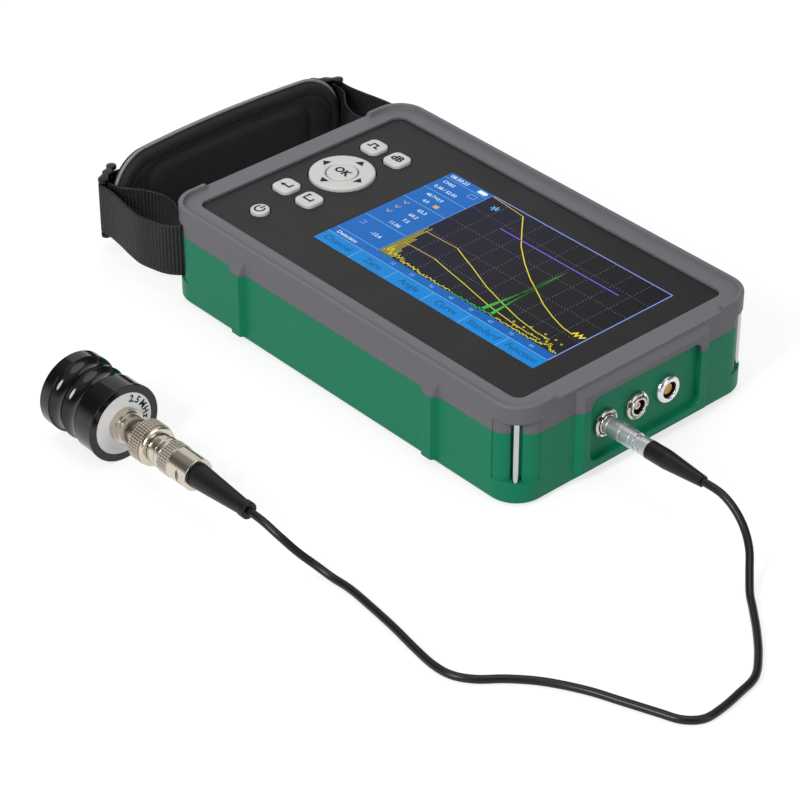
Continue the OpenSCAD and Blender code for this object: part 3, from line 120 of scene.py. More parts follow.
# Fine grain of a moulded or extruded skin, with slow drifts of shade and gloss from handling
SKIN = {"Colour": "colour", "Shade": "value", "Gloss": "value", "Gloss drift": "value", "Grain": "vector"}
SURFACE = {"Colour": "colour", "Roughness": "value", "Height": "value"}
skin_grain, given, made = effect("skin_grain", SKIN, SURFACE)
spot = place_on(skin_grain)
scaled = put(skin_grain, "ShaderNodeVectorMath", {0: spot, 1: given["Grain"]},
             operation="MULTIPLY").outputs[0]
fine = noise(skin_grain, scaled, 1.0, 3.0)
slow = noise(skin_grain, spot, 38.0, 2.0)
drift = sums(skin_grain, "MULTIPLY_ADD", slow, 0.6, sums(skin_grain, "MULTIPLY", fine, 0.4))
centred = sums(skin_grain, "SUBTRACT", drift, 0.5)
lift = sums(skin_grain, "MULTIPLY_ADD", centred, given["Shade"], 1.0)
skin_grain.links.new(tint(skin_grain, given["Colour"], lift), made["Colour"])
rub = sums(skin_grain, "SUBTRACT", slow, 0.5)
dulled = sums(skin_grain, "MULTIPLY_ADD", rub, given["Gloss drift"], given["Gloss"])
skin_grain.links.new(dulled, made["Roughness"])
skin_grain.links.new(fine, made["Height"])


def start_finish(name, **even):
    """Open a material; values that are the same all over sit on the shader itself."""
    material = bpy.data.materials.new(name)
    material.use_nodes = True
    shader = material.node_tree.nodes["Principled BSDF"]
    for label, value in even.items():
        shader.inputs[label.replace("_", " ")].default_value = value
    return material, material.node_tree, shader


def use_effect(tree, shader, group, relief, **values):
    """Place a group in a material and lead its colour, gloss and relief to the shader."""
    node = put(tree, "ShaderNodeGroup", node_tree=group)
    for label, value in values.items():
        node.inputs[label.replace("_", " ")].default_value = value
    tree.links.new(node.outputs["Colour"], shader.inputs["Base Color"])
    tree.links.new(node.outputs["Roughness"], shader.inputs["Roughness"])
    bump = put(tree, "ShaderNodeBump", {"Height": node.outputs["Height"], "Distance": relief})
    tree.links.new(bump.outputs["Normal"], shader.inputs["Normal"])
    return node


def skin(name, colour, gloss, grain=2600, relief=0.00003, shade=0.12, drift=0.1, **even):
    """A moulded, painted or extruded finish: colour, gloss and grain per metre."""
    material, tree, shader = start_finish(name, **even)
    grain = grain if hasattr(grain, "__len__") else (grain, grain, grain)
    use_effect(tree, shader, skin_grain, relief, Colour=colour, Shade=shade, Gloss=gloss, Gloss_drift=drift,
               Grain=grain)
    return material


lead_way = [(132, -16, 17.6), (139.5, -15.6, 16.8), (146, -16, 14), (151.5, -17.5, 10.5), (156.5, -20.5, 7),
            (161.5, -25.5, 3.6), (166.5, -30.5, 1.2), (172, -35, 0.61), (180, -42, 0.57), (188, -50, 0.57),
            (194, -58, 0.57), (196, -67, 0.57), (197.3, -76, 0.57), (197, -83, 0.57), (193, -88, 0.57),
            (186, -91, 0.57), (176, -95, 0.57), (165, -99.5, 0.57), (154, -106, 0.57), (146, -113, 0.57),
            (140, -120, 0.57), (134, -124, 0.57), (127, -125, 0.57), (118, -124, 0.57), (106, -122, 0.57),
            (94, -120.5, 0.57), (83, -119.5, 0.59), (75, -120, 0.8), (69, -121.5, 2.8), (63.5, -124, 6),
            (57.5, -126.3, 10), (51, -127.3, 12.5), (44.8, -127.5, 13)]
lead_d = 2.7
lead_line = bpy.data.curves.new("probe_lead", "CURVE")
lead_line.dimensions = "3D"
lead_line.bevel_depth = lead_d / 2 * MM
lead_line.bevel_resolution = 5
lead_line.resolution_u = 10
lead_line.use_fill_caps = True
run = lead_line.splines.new("BEZIER")
run.bezier_points.add(len(lead_way) - 1)
for i, place in enumerate(lead_way):
    here = Vector(place) * MM
    slope = (Vector(lead_way[min(i + 1, len(lead_way) - 1)]) - Vector(lead_way[max(i - 1, 0)])) * MM / 6
    knot = run.bezier_points[i]
    knot.handle_left_type = knot.handle_right_type = "FREE"
    knot.co, knot.handle_left, knot.handle_right = here, here - slope, here + slope
lead = place_in("probe_lead", lead_line)
jacket = skin("lead_jacket", ink(22, 22, 23), 0.3, 1800, 0.00002, 0.2, Specular_IOR_Level=0.3)
lead_line.materials.append(jacket)
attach(lead, "device")
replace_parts(lead, "probe_cord")

# Lower case: the green tub, injection moulded in one piece with its ribs, its strap pockets and
# the recess round the sockets. Satin spark-eroded texture; four long screws hold the frame to it.


def dress(node, material, edge=0.0, sharp=32, steps=2):
    """Give a CAD node its finish, smooth its round faces and break its edges by this many mm."""
    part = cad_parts[node]
    mesh = part.data
    if "custom_normal" in mesh.attributes:
        mesh.attributes.remove(mesh.attributes["custom_normal"])
    mesh.materials.clear()
    mesh.materials.append(material)
    for face in mesh.polygons:
        face.use_smooth = True
        face.material_index = 0
    if "sharp_edge" in mesh.attributes:
        mesh.attributes.remove(mesh.attributes["sharp_edge"])
    part.modifiers.new("weld", "WELD").merge_threshold = 0.000002
    if edge:
        soften = part.modifiers.new("edge", "BEVEL")
        soften.width = edge * MM
        soften.segments = steps
        soften.limit_method = "ANGLE"
        soften.angle_limit = math.radians(sharp)
        soften.use_clamp_overlap = False
        soften.harden_normals = True
    part.modifiers.new("sharp", "EDGE_SPLIT").split_angle = math.radians(sharp)


# Rounded edges of a moulding, as the turn of the surface near each edge
soft_edge, given, made = effect("soft_edge", {"Radius": "value"}, {"Normal": "vector"})
eased = put(soft_edge, "ShaderNodeBevel", {"Radius": given["Radius"]}, samples=6).outputs[0]
soft_edge.links.new(eased, made["Normal"])


def moulding(name, colour, gloss, radius, **even):
    """A moulded finish whose edges catch the light over a radius in millimetres."""
    material = skin(name, colour, gloss, 3200, 0.00002, 0.05, **even)
    tree = material.node_tree
    edge = put(tree, "ShaderNodeGroup", node_tree=soft_edge)
    edge.inputs["Radius"].default_value = radius * MM
    bump = next(node for node in tree.nodes if node.type == "BUMP")
    tree.links.new(edge.outputs["Normal"], bump.inputs["Normal"])
    return material


green = moulding("green_moulding", ink(16, 122, 88), 0.42, 0.5, Specular_IOR_Level=0.16)
dress("lower_case", green)

# Upper frame: grey moulding with the raised lips, the bezel and the awning over the sockets. Its
# ledge carries the front panel, and four long screws from below draw it on to the tub.
dress("upper_frame", moulding("grey_moulding", ink(104, 103, 108), 0.42, 0.5, Specular_IOR_Level=0.22))

# Gasket: a thin band of dark rubber, cut to the outline of the case. It lies in the parting line
# and is squeezed there when the frame is screwed down.
dress("case_gasket", skin("dark_gasket", ink(14, 14, 15), 0.7))

# Front panel: a hard black sheet with a sprayed satin grain, cut with openings for the window and
# the keys. It is bonded on the frame's ledge.
film, film_tree, film_shader = start_finish("panel_film", Specular_IOR_Level=0.16)
use_effect(film_tree, film_shader, skin_grain, 0.00006, Colour=ink(35, 34, 36), Shade=1.5, Gloss=0.4,
           Gloss_drift=0.1, Grain=(2800, 2800, 2800))
dress("front_panel", film, 0.2)

# Screen: a hard window bonded flush in the panel, and the picture of the measurement behind it: a
# blue column of readings, a ruler, a row of soft key names, and the plot with its echo trace.
screen_left, screen_low = -38.4, -30.4
screen_long, screen_tall = 108.0, 64.8
glass_top = 35.15

# Even glow of a backlight with a slow drift across the sheet
GLOW = {"Colour": "colour", "Far colour": "colour", "Drift": "value"}
backlight, given, made = effect("backlight", GLOW, SURFACE)
spot = place_on(backlight)
across = put(backlight, "ShaderNodeSeparateXYZ", {0: spot}).outputs[0]
near_x, far_x = -0.02, 0.035
span = {"Value": across, "From Min": near_x, "From Max": far_x}
share = put(backlight, "ShaderNodeMapRange", span).outputs[0]
both = {"Factor": share, 6: given["Colour"], 7: given["Far colour"]}
shown = put(backlight, "ShaderNodeMix", both, data_type="RGBA").outputs[2]
cloud = noise(backlight, spot, 45.0, 1.0)
dots = noise(backlight, spot, 6000.0, 1.0)
lift = sums(backlight, "MULTIPLY_ADD", sums(backlight, "SUBTRACT", cloud, 0.5), given["Drift"], 1.0)
backlight.links.new(tint(backlight, shown, lift), made["Colour"])
backlight.links.new(sums(backlight, "MULTIPLY_ADD", cloud, 0.06, 0.24), made["Roughness"])
backlight.links.new(dots, made["Height"])


def lit(name, near, far=None):
    """Part of the picture: its colour shows by day and glows a little of its own."""
    material, tree, shader = start_finish(name, Emission_Strength=0.22, Specular_IOR_Level=0.12)
    node = use_effect(tree, shader, backlight, 0.000002, Colour=near, Far_colour=far or near, Drift=0.12)
    tree.links.new(node.outputs["Colour"], shader.inputs["Emission Color"])
    return material


def flat(sheet, points, z, slot=0):
    """One flat patch of colour at a height."""
    face = sheet.faces.new([sheet.verts.new((x, y, z)) for x, y in points])
    face.material_index = slot
    if sum(x0 * y1 - x1 * y0 for (x0, y0), (x1, y1) in zip(points, points[1:] + points[:1])) < 0:
        face.normal_flip()


def stroke(sheet, points, width, z, slot=0):
    """A line of even width through points, mitred at its bends."""
    last = len(points) - 1
    left, right = [], []
    for i, point in enumerate(points):
        a, b, c = Vector(points[max(i - 1, 0)]), Vector(point), Vector(points[min(i + 1, last)])
        into = (b - a).normalized() if (b - a).length else (c - b).normalized()
        out = (c - b).normalized() if (c - b).length else into
        side = Vector((-(into + out).y, (into + out).x))
        side = side.normalized() if side.length > 0.001 else Vector((-into.y, into.x))
        reach = width / 2 / max(0.5, side.dot(Vector((-into.y, into.x))))
        left.append(b + side * reach)
        right.append(b - side * reach)
    for i in range(last):
        flat(sheet, [tuple(right[i]), tuple(right[i + 1]), tuple(left[i + 1]), tuple(left[i])], z, slot)


# Blender's letter size for capitals of height one
size_per_capital = 1.35


def letters(sheet, words, capital, place, z, slot=0, align="LEFT", bold=0.0):
    """Flat lettering in Blender's own plain letters, with capitals of a given height."""
    curve = bpy.data.curves.new("letters", "FONT")
    curve.body = words
    curve.size = capital * size_per_capital
    curve.align_x = align
    curve.offset = bold
    curve.resolution_u = 2
    holder = bpy.data.objects.new("letters", curve)
    drawn = bpy.data.meshes.new_from_object(holder)
    drawn.transform(Matrix.Translation((place[0], place[1], z)))
    count = len(sheet.faces)
    sheet.from_mesh(drawn)
    sheet.faces.ensure_lookup_table()
    for face in sheet.faces[count:]:
        face.material_index = slot
    bpy.data.objects.remove(holder)
    bpy.data.curves.remove(curve)
    bpy.data.meshes.remove(drawn)


def piece(name, shape, body, materials, sharp=35):
    """Turn a shape drawn in millimetres into a piece that rides on a body."""
    bmesh.ops.scale(shape, vec=(MM, MM, MM), verts=shape.verts)
    mesh = bpy.data.meshes.new(name)
    shape.to_mesh(mesh)
    shape.free()
    for material in materials:
        mesh.materials.append(material)
    for face in mesh.polygons:
        face.use_smooth = True
    mesh.set_sharp_from_angle(angle=math.radians(sharp))
    thing = place_in(name, mesh)
    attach(thing, body)
    return thing


screen_inks = [skin("window_glass", ink(10, 10, 14), 0.2, 900, 0.000004),
               lit("reading_blue", ink(10, 92, 168), ink(6, 84, 160)),
               lit("soft_key_blue", ink(0, 116, 188), ink(0, 118, 192)),
               lit("plot_ground", ink(15, 15, 38), ink(19, 19, 23)),
               lit("grid_dots", ink(104, 98, 120)),
               lit("yellow_trace", ink(208, 198, 54)),
               lit("green_trace", ink(52, 176, 70)),
               lit("violet_gate", ink(116, 80, 200)),
               lit("white_figures", ink(206, 224, 240)),
               lit("frame_line", ink(126, 146, 222)),
               lit("soft_key_words", ink(4, 78, 138)),
               lit("amber_marks", ink(190, 160, 80)),
               lit("pale_rules", ink(104, 164, 216))]
GLASS, BLUE, KEY_BLUE, GROUND, DOTS, YELLOW, GREEN, VIOLET, WHITE, LINE, WORDS, AMBER, RULE = range(13)
screen = bmesh.new()
glass_low, glass_high = 33.2, glass_top - 0.02
middle = (screen_left + screen_long / 2, screen_low + screen_tall / 2, (glass_low + glass_high) / 2)
stretch = Matrix.Diagonal((screen_long, screen_tall, glass_high - glass_low, 1))
bmesh.ops.create_cube(screen, size=1.0, matrix=Matrix.Translation(middle) @ stretch)
layer = 0.01


def on_screen(points):
    """Screen points, measured from its lower left corner, in the part's own frame."""
    return [(screen_left + x, screen_low + y) for x, y in points]


def band(x0, y0, x1, y1, slot, level=0):
    """Oblong of one colour; a higher level lies over a lower one."""
    flat(screen, on_screen([(x0, y0), (x1, y0), (x1, y1), (x0, y1)]), glass_top + layer * level, slot)


def trace(points, width, slot, level=2):
    """Line of one colour through points."""
    stroke(screen, on_screen(points), width, glass_top + layer * level, slot)


def figures(words, capital, x, y, slot=WHITE, align="LEFT"):
    """Words or numbers, from the left or about their middle, a little bolder than the plain letters."""
    place = on_screen([(x, y)])[0]
    letters(screen, words, capital, place, glass_top + 3 * layer, slot, align, 0.012 * capital)


# The picture's fields: soft keys below, the ruler over them, the column and the plot
rim_x0, rim_x1, rim_y0, rim_y1 = 0.2, 107.8, 0.2, 64.6
column_w, ruler_y0, ruler_y1, soft_key_w = 21.4, 6.9, 10.8, 18
band(rim_x0, rim_y0, rim_x1, ruler_y0, KEY_BLUE)
band(rim_x0, ruler_y0, rim_x1, ruler_y1, BLUE)
band(rim_x0, ruler_y1, column_w, rim_y1, BLUE)
band(column_w, ruler_y1, rim_x1, rim_y1, GROUND)
for k in range(1, 6):
    trace([(soft_key_w * k, rim_y0), (soft_key_w * k, ruler_y0)], 0.24, RULE)
trace([(rim_x0, ruler_y0), (rim_x1, ruler_y0)], 0.26, RULE)
for y in (60.9, 51.2, 41.5, 23.7, 11.0):
    trace([(rim_x0, y), (column_w, y)], 0.24, RULE)
plot_x1, plot_y1 = 107.6, 64.4
trace([(column_w, plot_y1), (plot_x1, plot_y1), (plot_x1, ruler_y0)], 0.4, LINE)
trace([(column_w, ruler_y1), (column_w, plot_y1)], 0.2, LINE)
for k, name in enumerate(["Channel", "Zero", "Angle", "Curve", "Standard", "Function"]):
    figures(name, 3.0, soft_key_w * (k + 0.5), 2.4, WORDS, "CENTER")
readings = [("08:50:23", 1.9, 1.6, 62.0), ("CH02", 1.7, 2.4, 57.6), ("0.38 / 52.03", 1.7, 2.4, 53.4),
            ("48.7+0.0", 1.7, 4.6, 47.6), ("4.0", 1.7, 7.0, 43.6), ("03.3", 1.8, 11.0, 37.6),
            ("60.2", 1.8, 11.0, 33.6), ("7.5", 1.8, 12.2, 29.6), ("11.06", 1.8, 9.9, 25.4),
            ("-12.6", 1.8, 11.2, 16.0), ("Detection", 1.8, 3.0, 8.0)]
for words, capital, x, y in readings:
    figures(words, capital, x, y)
for k in range(1, 9):
    figures("%d" % (10 * k), 1.5, column_w + 9.6 * k, 8.2, RULE, "CENTER")

# Small marks of the column: battery, channel box, lock and ticks
band(15.6, 61.8, 19.4, 63.7, WHITE, 2)
band(19.4, 62.3, 19.9, 63.2, WHITE, 2)
trace([(15.4, 57.2), (18.6, 57.2), (18.6, 59.4), (15.4, 59.4), (15.4, 57.2)], 0.3, LINE)
band(12.6, 43.4, 14.8, 45.2, AMBER, 2)
for y in (38.0, 34.0, 30.0):
    trace([(3.4, y + 1.3), (4.4, y), (5.6, y + 1.5)], 0.35, AMBER)
trace([(3.2, 18.4), (5.0, 18.4), (5.0, 20.2), (3.2, 20.2)], 0.3, LINE)

# Grid of dots, the curves over it, the gate bar and the echo
dot = 0.34
for k in range(1, 10):
    for j in range(38):
        x, y = column_w + 8.6 * k, ruler_y1 + 0.9 + 1.4 * j
        band(x, y, x + dot, y + dot, DOTS, 1)
for k in range(1, 5):
    for j in range(60):
        x, y = column_w + 1.2 + 1.42 * j, ruler_y1 + 10.7 * k
        band(x, y, x + dot, y + dot, DOTS, 1)
for slot, width, points in [
        (AMBER, 0.34, [(22, 63.8), (30, 63.2), (38.3, 62.4)]),
        (YELLOW, 0.38, [(38.3, 62.4), (44.5, 55.9), (52.1, 48.3), (60.5, 41.9), (68.8, 36.5), (74.9, 33.3),
                        (82.9, 28.9), (90.1, 26.0), (97, 23.9), (102.3, 23.3)]),
        (AMBER, 0.3, [(22.9, 30.9), (38.5, 31.5)]),
        (YELLOW, 0.34, [(38.5, 31.5), (44.5, 29.2), (50.8, 27), (62.7, 22.3), (73.9, 19.2), (83.6, 16.8),
                        (93.3, 15.5), (99.6, 15.6)]),
        (AMBER, 0.3, [(23.4, 20.9), (38.3, 21.2)]),
        (YELLOW, 0.32, [(38.3, 21.2), (47, 19.6), (55.8, 18.1), (71.7, 14.9), (82.6, 13.7), (91.1, 13.2),
                        (97.5, 13.4)]),
        (VIOLET, 0.5, [(39, 51.1), (95.8, 51.1)])]:
    trace(points, width, slot)
for share in (0.0, 0.3, 0.6, 1.0):
    rise = [(70.9 + 1.2 * share, 12.2), (73.5 + 0.3 * share, 30 + 6 * share), (74.3, 48.4 - 6 * share)]
    fall = [(74.9 - 0.2 * share, 26 + 6 * share), (76.2 - 1.0 * share, 12.2)]
    trace(rise + fall, 0.3, GREEN, 3)

# Ringing at the start of the trace, stray crosses, and the noise along the foot of the plot
chance = random.Random(7)
foot_y, ring_x, grass_x, end_x = 11.0, 22.0, 21.9, 101
for k in range(9):
    x = ring_x + 0.72 * k
    tall = 27.5 * math.exp(-((x - ring_x) / 3.6) ** 2) + 3.0
    trace([(x, foot_y), (x + 0.12, foot_y + tall * (0.6 + 0.4 * chance.random()))], 0.22, YELLOW)
arm = 0.55
for k in range(14):
    x, y = 84 + 1.55 * k, 12.6 + 4.6 * chance.random()
    trace([(x - arm, y), (x + arm, y)], 0.24, YELLOW)
    trace([(x, y - arm), (x, y + arm)], 0.24, YELLOW)
grass = []
for k in range(240):
    x = grass_x + 0.355 * k
    tall = 4.5 * math.exp(-((x - grass_x) / 5.5) ** 1.6) + 5 * math.exp(-(x - grass_x) / 9) + 0.9
    tall += 3.4 * math.exp(-((x - end_x) / 3.5) ** 2)
    grass.append((x, foot_y + tall * (0.12 + 0.88 * chance.random() ** 1.4)))
trace(grass[:98], 0.3, YELLOW)
trace(grass[97:160], 0.3, GREEN)
trace(grass[159:], 0.3, YELLOW)
trace([(101.6, 23.4), (102.8, 25.2), (103.6, 23.2), (104.6, 25.4), (105.4, 23.6), (106.6, 25.2)], 0.7, YELLOW)
star_x, star_y, star_r = 28.1, 58.8, 1.7
for turn in (20, 75, 150):
    dx, dy = star_r * math.cos(math.radians(turn)), star_r * math.sin(math.radians(turn))
    trace([(star_x - dx, star_y - dy), (star_x + dx, star_y + dy)], 0.5, RULE)
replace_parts(piece("screen", screen, "device", screen_inks), "display_window")

# Keys: cast light grey silicone caps with a soft rounded rim, a hidden flange under the panel and
# a plunger on a dome of the mat. Their signs are printed in dark ink and sealed.
key_top, key_side, key_corner, key_soft, plunger_r = 36.3, 8.4, 2.5, 0.55, 1.5
flange_half, flange_corner = 5.1, 2.5
power_r, power_flange_r, ok_r, ok_flange_r = 3.4, 4.3, 5.6, 6.1
key_column, ring_row = -63.2, 4.4
key_levels, ok_levels = (30.8, 31.9, 32.9), (30.76, 30.78, 31.05)


def rounded(centre, half, corner, z, steps=8, half_across=None):
    """Points round an oblong with round corners; a corner as large as the half side gives a circle."""
    points = []
    for quarter in range(4):
        a = quarter * math.pi / 2
        cx = (half - corner) * (1 if quarter in (0, 3) else -1)
        cy = ((half_across or half) - corner) * (1 if quarter in (0, 1) else -1)
        for k in range(steps + 1):
            b = a + k * math.pi / 2 / steps
            points.append((centre[0] + cx + corner * math.cos(b), centre[1] + cy + corner * math.sin(b), z))
    return points


def loft(shape, rings, closed=False, ends=True):
    """Skin rings of equal count, in order; then join the last to the first, or close both ends."""
    rows = [[shape.verts.new(p) for p in ring] for ring in rings]
    n = len(rows[0])
    for a, b in zip(rows, rows[1:] + (rows[:1] if closed else [])):
        for i in range(n):
            j = (i + 1) % n
            shape.faces.new((a[i], a[j], b[j], b[i]))
    if ends and not closed:
        shape.faces.new(list(reversed(rows[0])))
        shape.faces.new(rows[-1])


key_finish = skin("key_rubber", ink(198, 197, 195), 0.5, 2600, 0.000015, 0.04)
sign_ink = skin("sign_ink", ink(14, 14, 15), 0.5, 3000, 0.00001, Specular_IOR_Level=0.2)


def rim(half, corner):
    """Rings of a cap from its side over the soft rim to its slightly crowned top."""
    rows = []
    for k in range(6):
        a = k * math.pi / 10
        inset = key_soft * (1 - math.cos(a))
        rows.append((half - inset, corner - inset, key_top - 0.06 - key_soft * (1 - math.sin(a))))
    for share, below in ((0.86, 0.02), (0.4, 0.0)):
        rows.append(((half - key_soft) * share, (corner - key_soft) * share, key_top - below))
    return rows


def cap(name, centre, half, corner, lip_half, lip_corner, levels):
    """One whole key: plunger, flange, cap and soft rim."""
    foot, lip_low, lip_high = levels
    rows = [(plunger_r, plunger_r, foot), (plunger_r, plunger_r, lip_low), (lip_half, lip_corner, lip_low),
            (lip_half, lip_corner, lip_high), (half, corner, lip_high)]
    shape = bmesh.new()
    loft(shape, [rounded(centre, h, c, z) for h, c, z in rows + rim(half, corner)])
    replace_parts(piece(name + "_cap", shape, name + "_key", [key_finish], 40), name + "_key")


column_a, column_b = key_column - 6.15, key_column + 6.15
row_low, row_high, power_y = ring_row - 20.4, ring_row + 20.4, ring_row - 37.5
for name, place in [("return", (column_a, row_low)), ("gate", (column_b, row_low)),
                    ("wave", (column_a, row_high)), ("gain", (column_b, row_high))]:
    cap(name, place, key_side / 2, key_corner, flange_half, flange_corner, key_levels)
cap("power", (key_column, power_y), power_r, power_r, power_flange_r, power_flange_r, key_levels)
cap("ok", (key_column, ring_row), ok_r, ok_r, ok_flange_r, ok_flange_r, ok_levels)


def sign(name, body, draw, z=key_top + 0.015):
    """Printed sign on a key, drawn by a function that gets the sheet."""
    sheet = bmesh.new()
    draw(sheet, z)
    piece(name, sheet, body, [sign_ink])


def power_sign(sheet, z):
    """Open ring with an upright stroke through its gap."""
    r, y = 1.75, power_y - 0.1
    turns_round = [math.radians(125 + 290 * k / 24) for k in range(25)]
    stroke(sheet, [(key_column + r * math.cos(a), y + r * math.sin(a)) for a in turns_round], 0.72, z)
    stroke(sheet, [(key_column, power_y + 0.2), (key_column, power_y + 2.3)], 0.72, z)


def return_sign(sheet, z):
    """Bent line with an arrow head at its end."""
    x, y = column_a, row_low
    stroke(sheet, [(x - 1.0, y - 0.4), (x + 1.9, y - 0.4), (x + 1.9, y + 1.7)], 0.78, z)
    flat(sheet, [(x - 2.5, y - 0.4), (x - 0.8, y - 1.5), (x - 0.8, y + 0.7)], z)


def gate_sign(sheet, z):
    """Gate: a trough with a short bar on its left post."""
    x, y = column_b, row_low
    stroke(sheet, [(x - 1.8, y + 1.8), (x - 1.8, y - 1.1), (x + 1.8, y - 1.1), (x + 1.8, y + 0.7)], 0.78, z)
    stroke(sheet, [(x - 2.4, y + 1.8), (x - 0.9, y + 1.8)], 0.7, z)


def wave_sign(sheet, z):
    """One square pulse."""
    x, y = column_a, row_high
    stroke(sheet, [(x - 2.6, y - 1.0), (x - 1.1, y - 1.0), (x - 1.1, y + 1.2), (x + 1.1, y + 1.2),
                   (x + 1.1, y - 1.0), (x + 2.6, y - 1.0)], 0.76, z)


def two_letters(words, x, y):
    """Drawing of two letters about the middle of a key: the unit of gain, and the middle key's word."""
    return lambda sheet, z: letters(sheet, words, 3.4, (x, y - 1.25), z, 0, "CENTER", 0.2)


for name, draw in [("power", power_sign), ("return", return_sign), ("gate", gate_sign), ("wave", wave_sign),
                   ("gain", two_letters("dB", column_b, row_high)),
                   ("ok", two_letters("OK", key_column, ring_row))]:
    sign(name + "_sign", name + "_key", draw)

# Four-way ring: a flat ring of the same silicone, cast with a soft outer rim and a low inner lip
# round the middle key. It rests on the gimbal below, and an arrow is printed on each of its sides.
ring_flange_r, ring_r, ring_rim_z, ring_soft, ring_crown = 12.7, 11.8, 35.5, 0.7, 0.74
ring_profile = [(ring_flange_r, 31.5), (ring_flange_r, 32.3), (ring_r, 32.3), (ring_r, ring_rim_z)]
for k in range(1, 7):
    a = k * math.pi / 12
    ring_profile.append((ring_r - ring_soft * (1 - math.cos(a)), ring_rim_z + ring_crown * math.sin(a)))
ring_profile += [(10.0, 36.28), (8.0, 36.22), (6.6, 36.2), (6.25, 36.14), (6.04, 35.9), (6.0, 35.6),
                 (6.0, 31.5)]
ring_shape = bmesh.new()
loft(ring_shape, [rounded((key_column, ring_row), r, r, z, 14) for r, z in ring_profile], closed=True)
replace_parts(piece("four_way_ring", ring_shape, "nav_ring", [key_finish], 40), "nav_ring")


def arrows(sheet, z):
    """Four arrow heads, one to each side of the ring."""
    tip_r, base_r, base_half = 10.3, 7.7, 1.9
    for turn in (0, 90, 180, 270):
        s, c = math.sin(math.radians(turn)), math.cos(math.radians(turn))
        flat(sheet, [(key_column + r * c - side * s, ring_row + r * s + side * c)
                     for r, side in ((tip_r, 0), (base_r, base_half), (base_r, -base_half))], z)


sign("ring_sign", "nav_ring", arrows, 36.31)

# Panel shade strip: a thin flat strip of black round the edge of the panel where it meets the
# frame. It is painted shade that stands in for the dark gap of that joint.
shade_strip_low, shade_strip_high, shade_strip_gap, shade_strip_w, shade_strip_slope = 35.1, 35.19, 0.02, 1.35, 0.15
panel_half_l, panel_half_w, panel_corner = 80.0, 46.8, 3.67
shade_strip_profile = [(shade_strip_gap, shade_strip_low), (shade_strip_gap, shade_strip_high), (shade_strip_w - shade_strip_slope, shade_strip_high),
                (shade_strip_w, shade_strip_low)]
shade_strip = bmesh.new()
loft(shade_strip, [rounded((0, 0), panel_half_l - inset, panel_corner - inset, z, half_across=panel_half_w - inset)
            for inset, z in shade_strip_profile], closed=True)
gap_shade = skin("panel_gap_shade", ink(9, 9, 9), 0.55, 2600, 0.00002, 0.2, Specular_IOR_Level=0.15)
piece("panel_shade_strip", shade_strip, "device", [gap_shade], 60)

# Key mat and gimbal: the mat is one sheet of cast silicone with a dome under each key. The gimbal
# is a hard plastic ring that rocks on two round feet and carries the four-way ring on two bumps.
dress("key_mat", skin("silicone_mat", ink(186, 186, 176), 0.6))
dress("nav_pivot", skin("pivot_plastic", ink(60, 60, 62), 0.45))

# Circuit boards: green glass laminate for the keys, the main board and the pulser, on turned brass
# spacers and held by small steel screws.
laminate = skin("board_laminate", ink(24, 92, 56), 0.38, 900, 0.00002, 0.3)
for node in ("key_board", "main_board", "pulser_board"):
    dress(node, laminate)
brass = skin("spacer_brass", ink(196, 166, 92), 0.34, (300, 300, 4000), 0.000006, 0.2, Metallic=1.0)
dress("board_spacers", brass)

# Buzzer and pulser can: a moulded black sounder soldered to the main board, and a folded can of
# tinned steel pressed over the pulser to keep its noise in.
dress("buzzer", skin("buzzer_case", ink(22, 22, 24), 0.42))
tinned = skin("shield_steel", ink(186, 188, 190), 0.36, (200, 2600, 200), 0.000006, 0.16, Metallic=1.0)
dress("pulser_shield", tinned)

# Display module: a glass panel in a pressed metal tray under the window, joined to the main board
# by a flat amber ribbon.
dress("display_module", skin("display_metal", ink(176, 176, 180), 0.4, 700, 0.00001, 0.1, Metallic=1.0))
dress("display_ribbon", skin("ribbon_film", ink(206, 140, 44), 0.35, 500, 0.000006, 0.2))

# Battery and its door: cells in blue shrink wrap, laid in their bay from below, and over them a
# door moulded in the green of the tub.
dress("battery_pack", skin("battery_wrap", ink(44, 78, 138), 0.3, 260, 0.00003, 0.2))
dress("battery_door", green, 0.2)

# Screws: rolled steel with a bright zinc plate. The board's go down into its posts, and those of
# the door and the case go in from the underside.
screw_steel = skin("screw_steel", ink(196, 196, 196), 0.34, (2600, 300, 300), 0.000006, 0.12, Metallic=1.0)
for node in ("board_screws", "door_screws", "case_screws"):
    dress(node, screw_steel)

# Feet: four dark rubber discs, punched from sheet and glued in shallow seats of the underside.
# The case stands on them.
dress("rubber_feet", skin("foot_rubber", ink(28, 28, 29), 0.72, 3000, 0.00005), 0.3)

# Strap pins: hard drawn steel rod, one in each corner pocket of the tub. They are pressed in from
# the parting line, and the frame closes the pocket over them.
drawn_rod = skin("pin_steel", ink(190, 190, 192), 0.26, (300, 300, 3000), 0.000005, 0.14, Metallic=1.0)
dress("strap_pins", drawn_rod)

# Coaxial sockets: turned brass shells plated with nickel, held by a slotted ring nut outside and
# a hexagon nut inside. Each has a white insulator round a gold contact.
nickel = skin("socket_nickel", ink(196, 193, 184), 0.22, (4200, 260, 260), 0.000005, 0.16, 0.12, Metallic=1.0)
gold = skin("contact_gold", ink(214, 168, 96), 0.26, (3000, 300, 300), 0.000004, 0.16, Metallic=1.0)
# Painted shade: the inside of each bore is coloured dark brown for the shade that falls there.
bore_painted_shade = skin("bore_painted_shade", ink(58, 38, 26), 0.36, 900, 0.000004, 0.2, Metallic=0.5)
socket_z, plugged_y, free_y = 17.6, -16.0, -1.7
shell_back, notch_half, notch_floor = 73.6, math.radians(9), 88.9


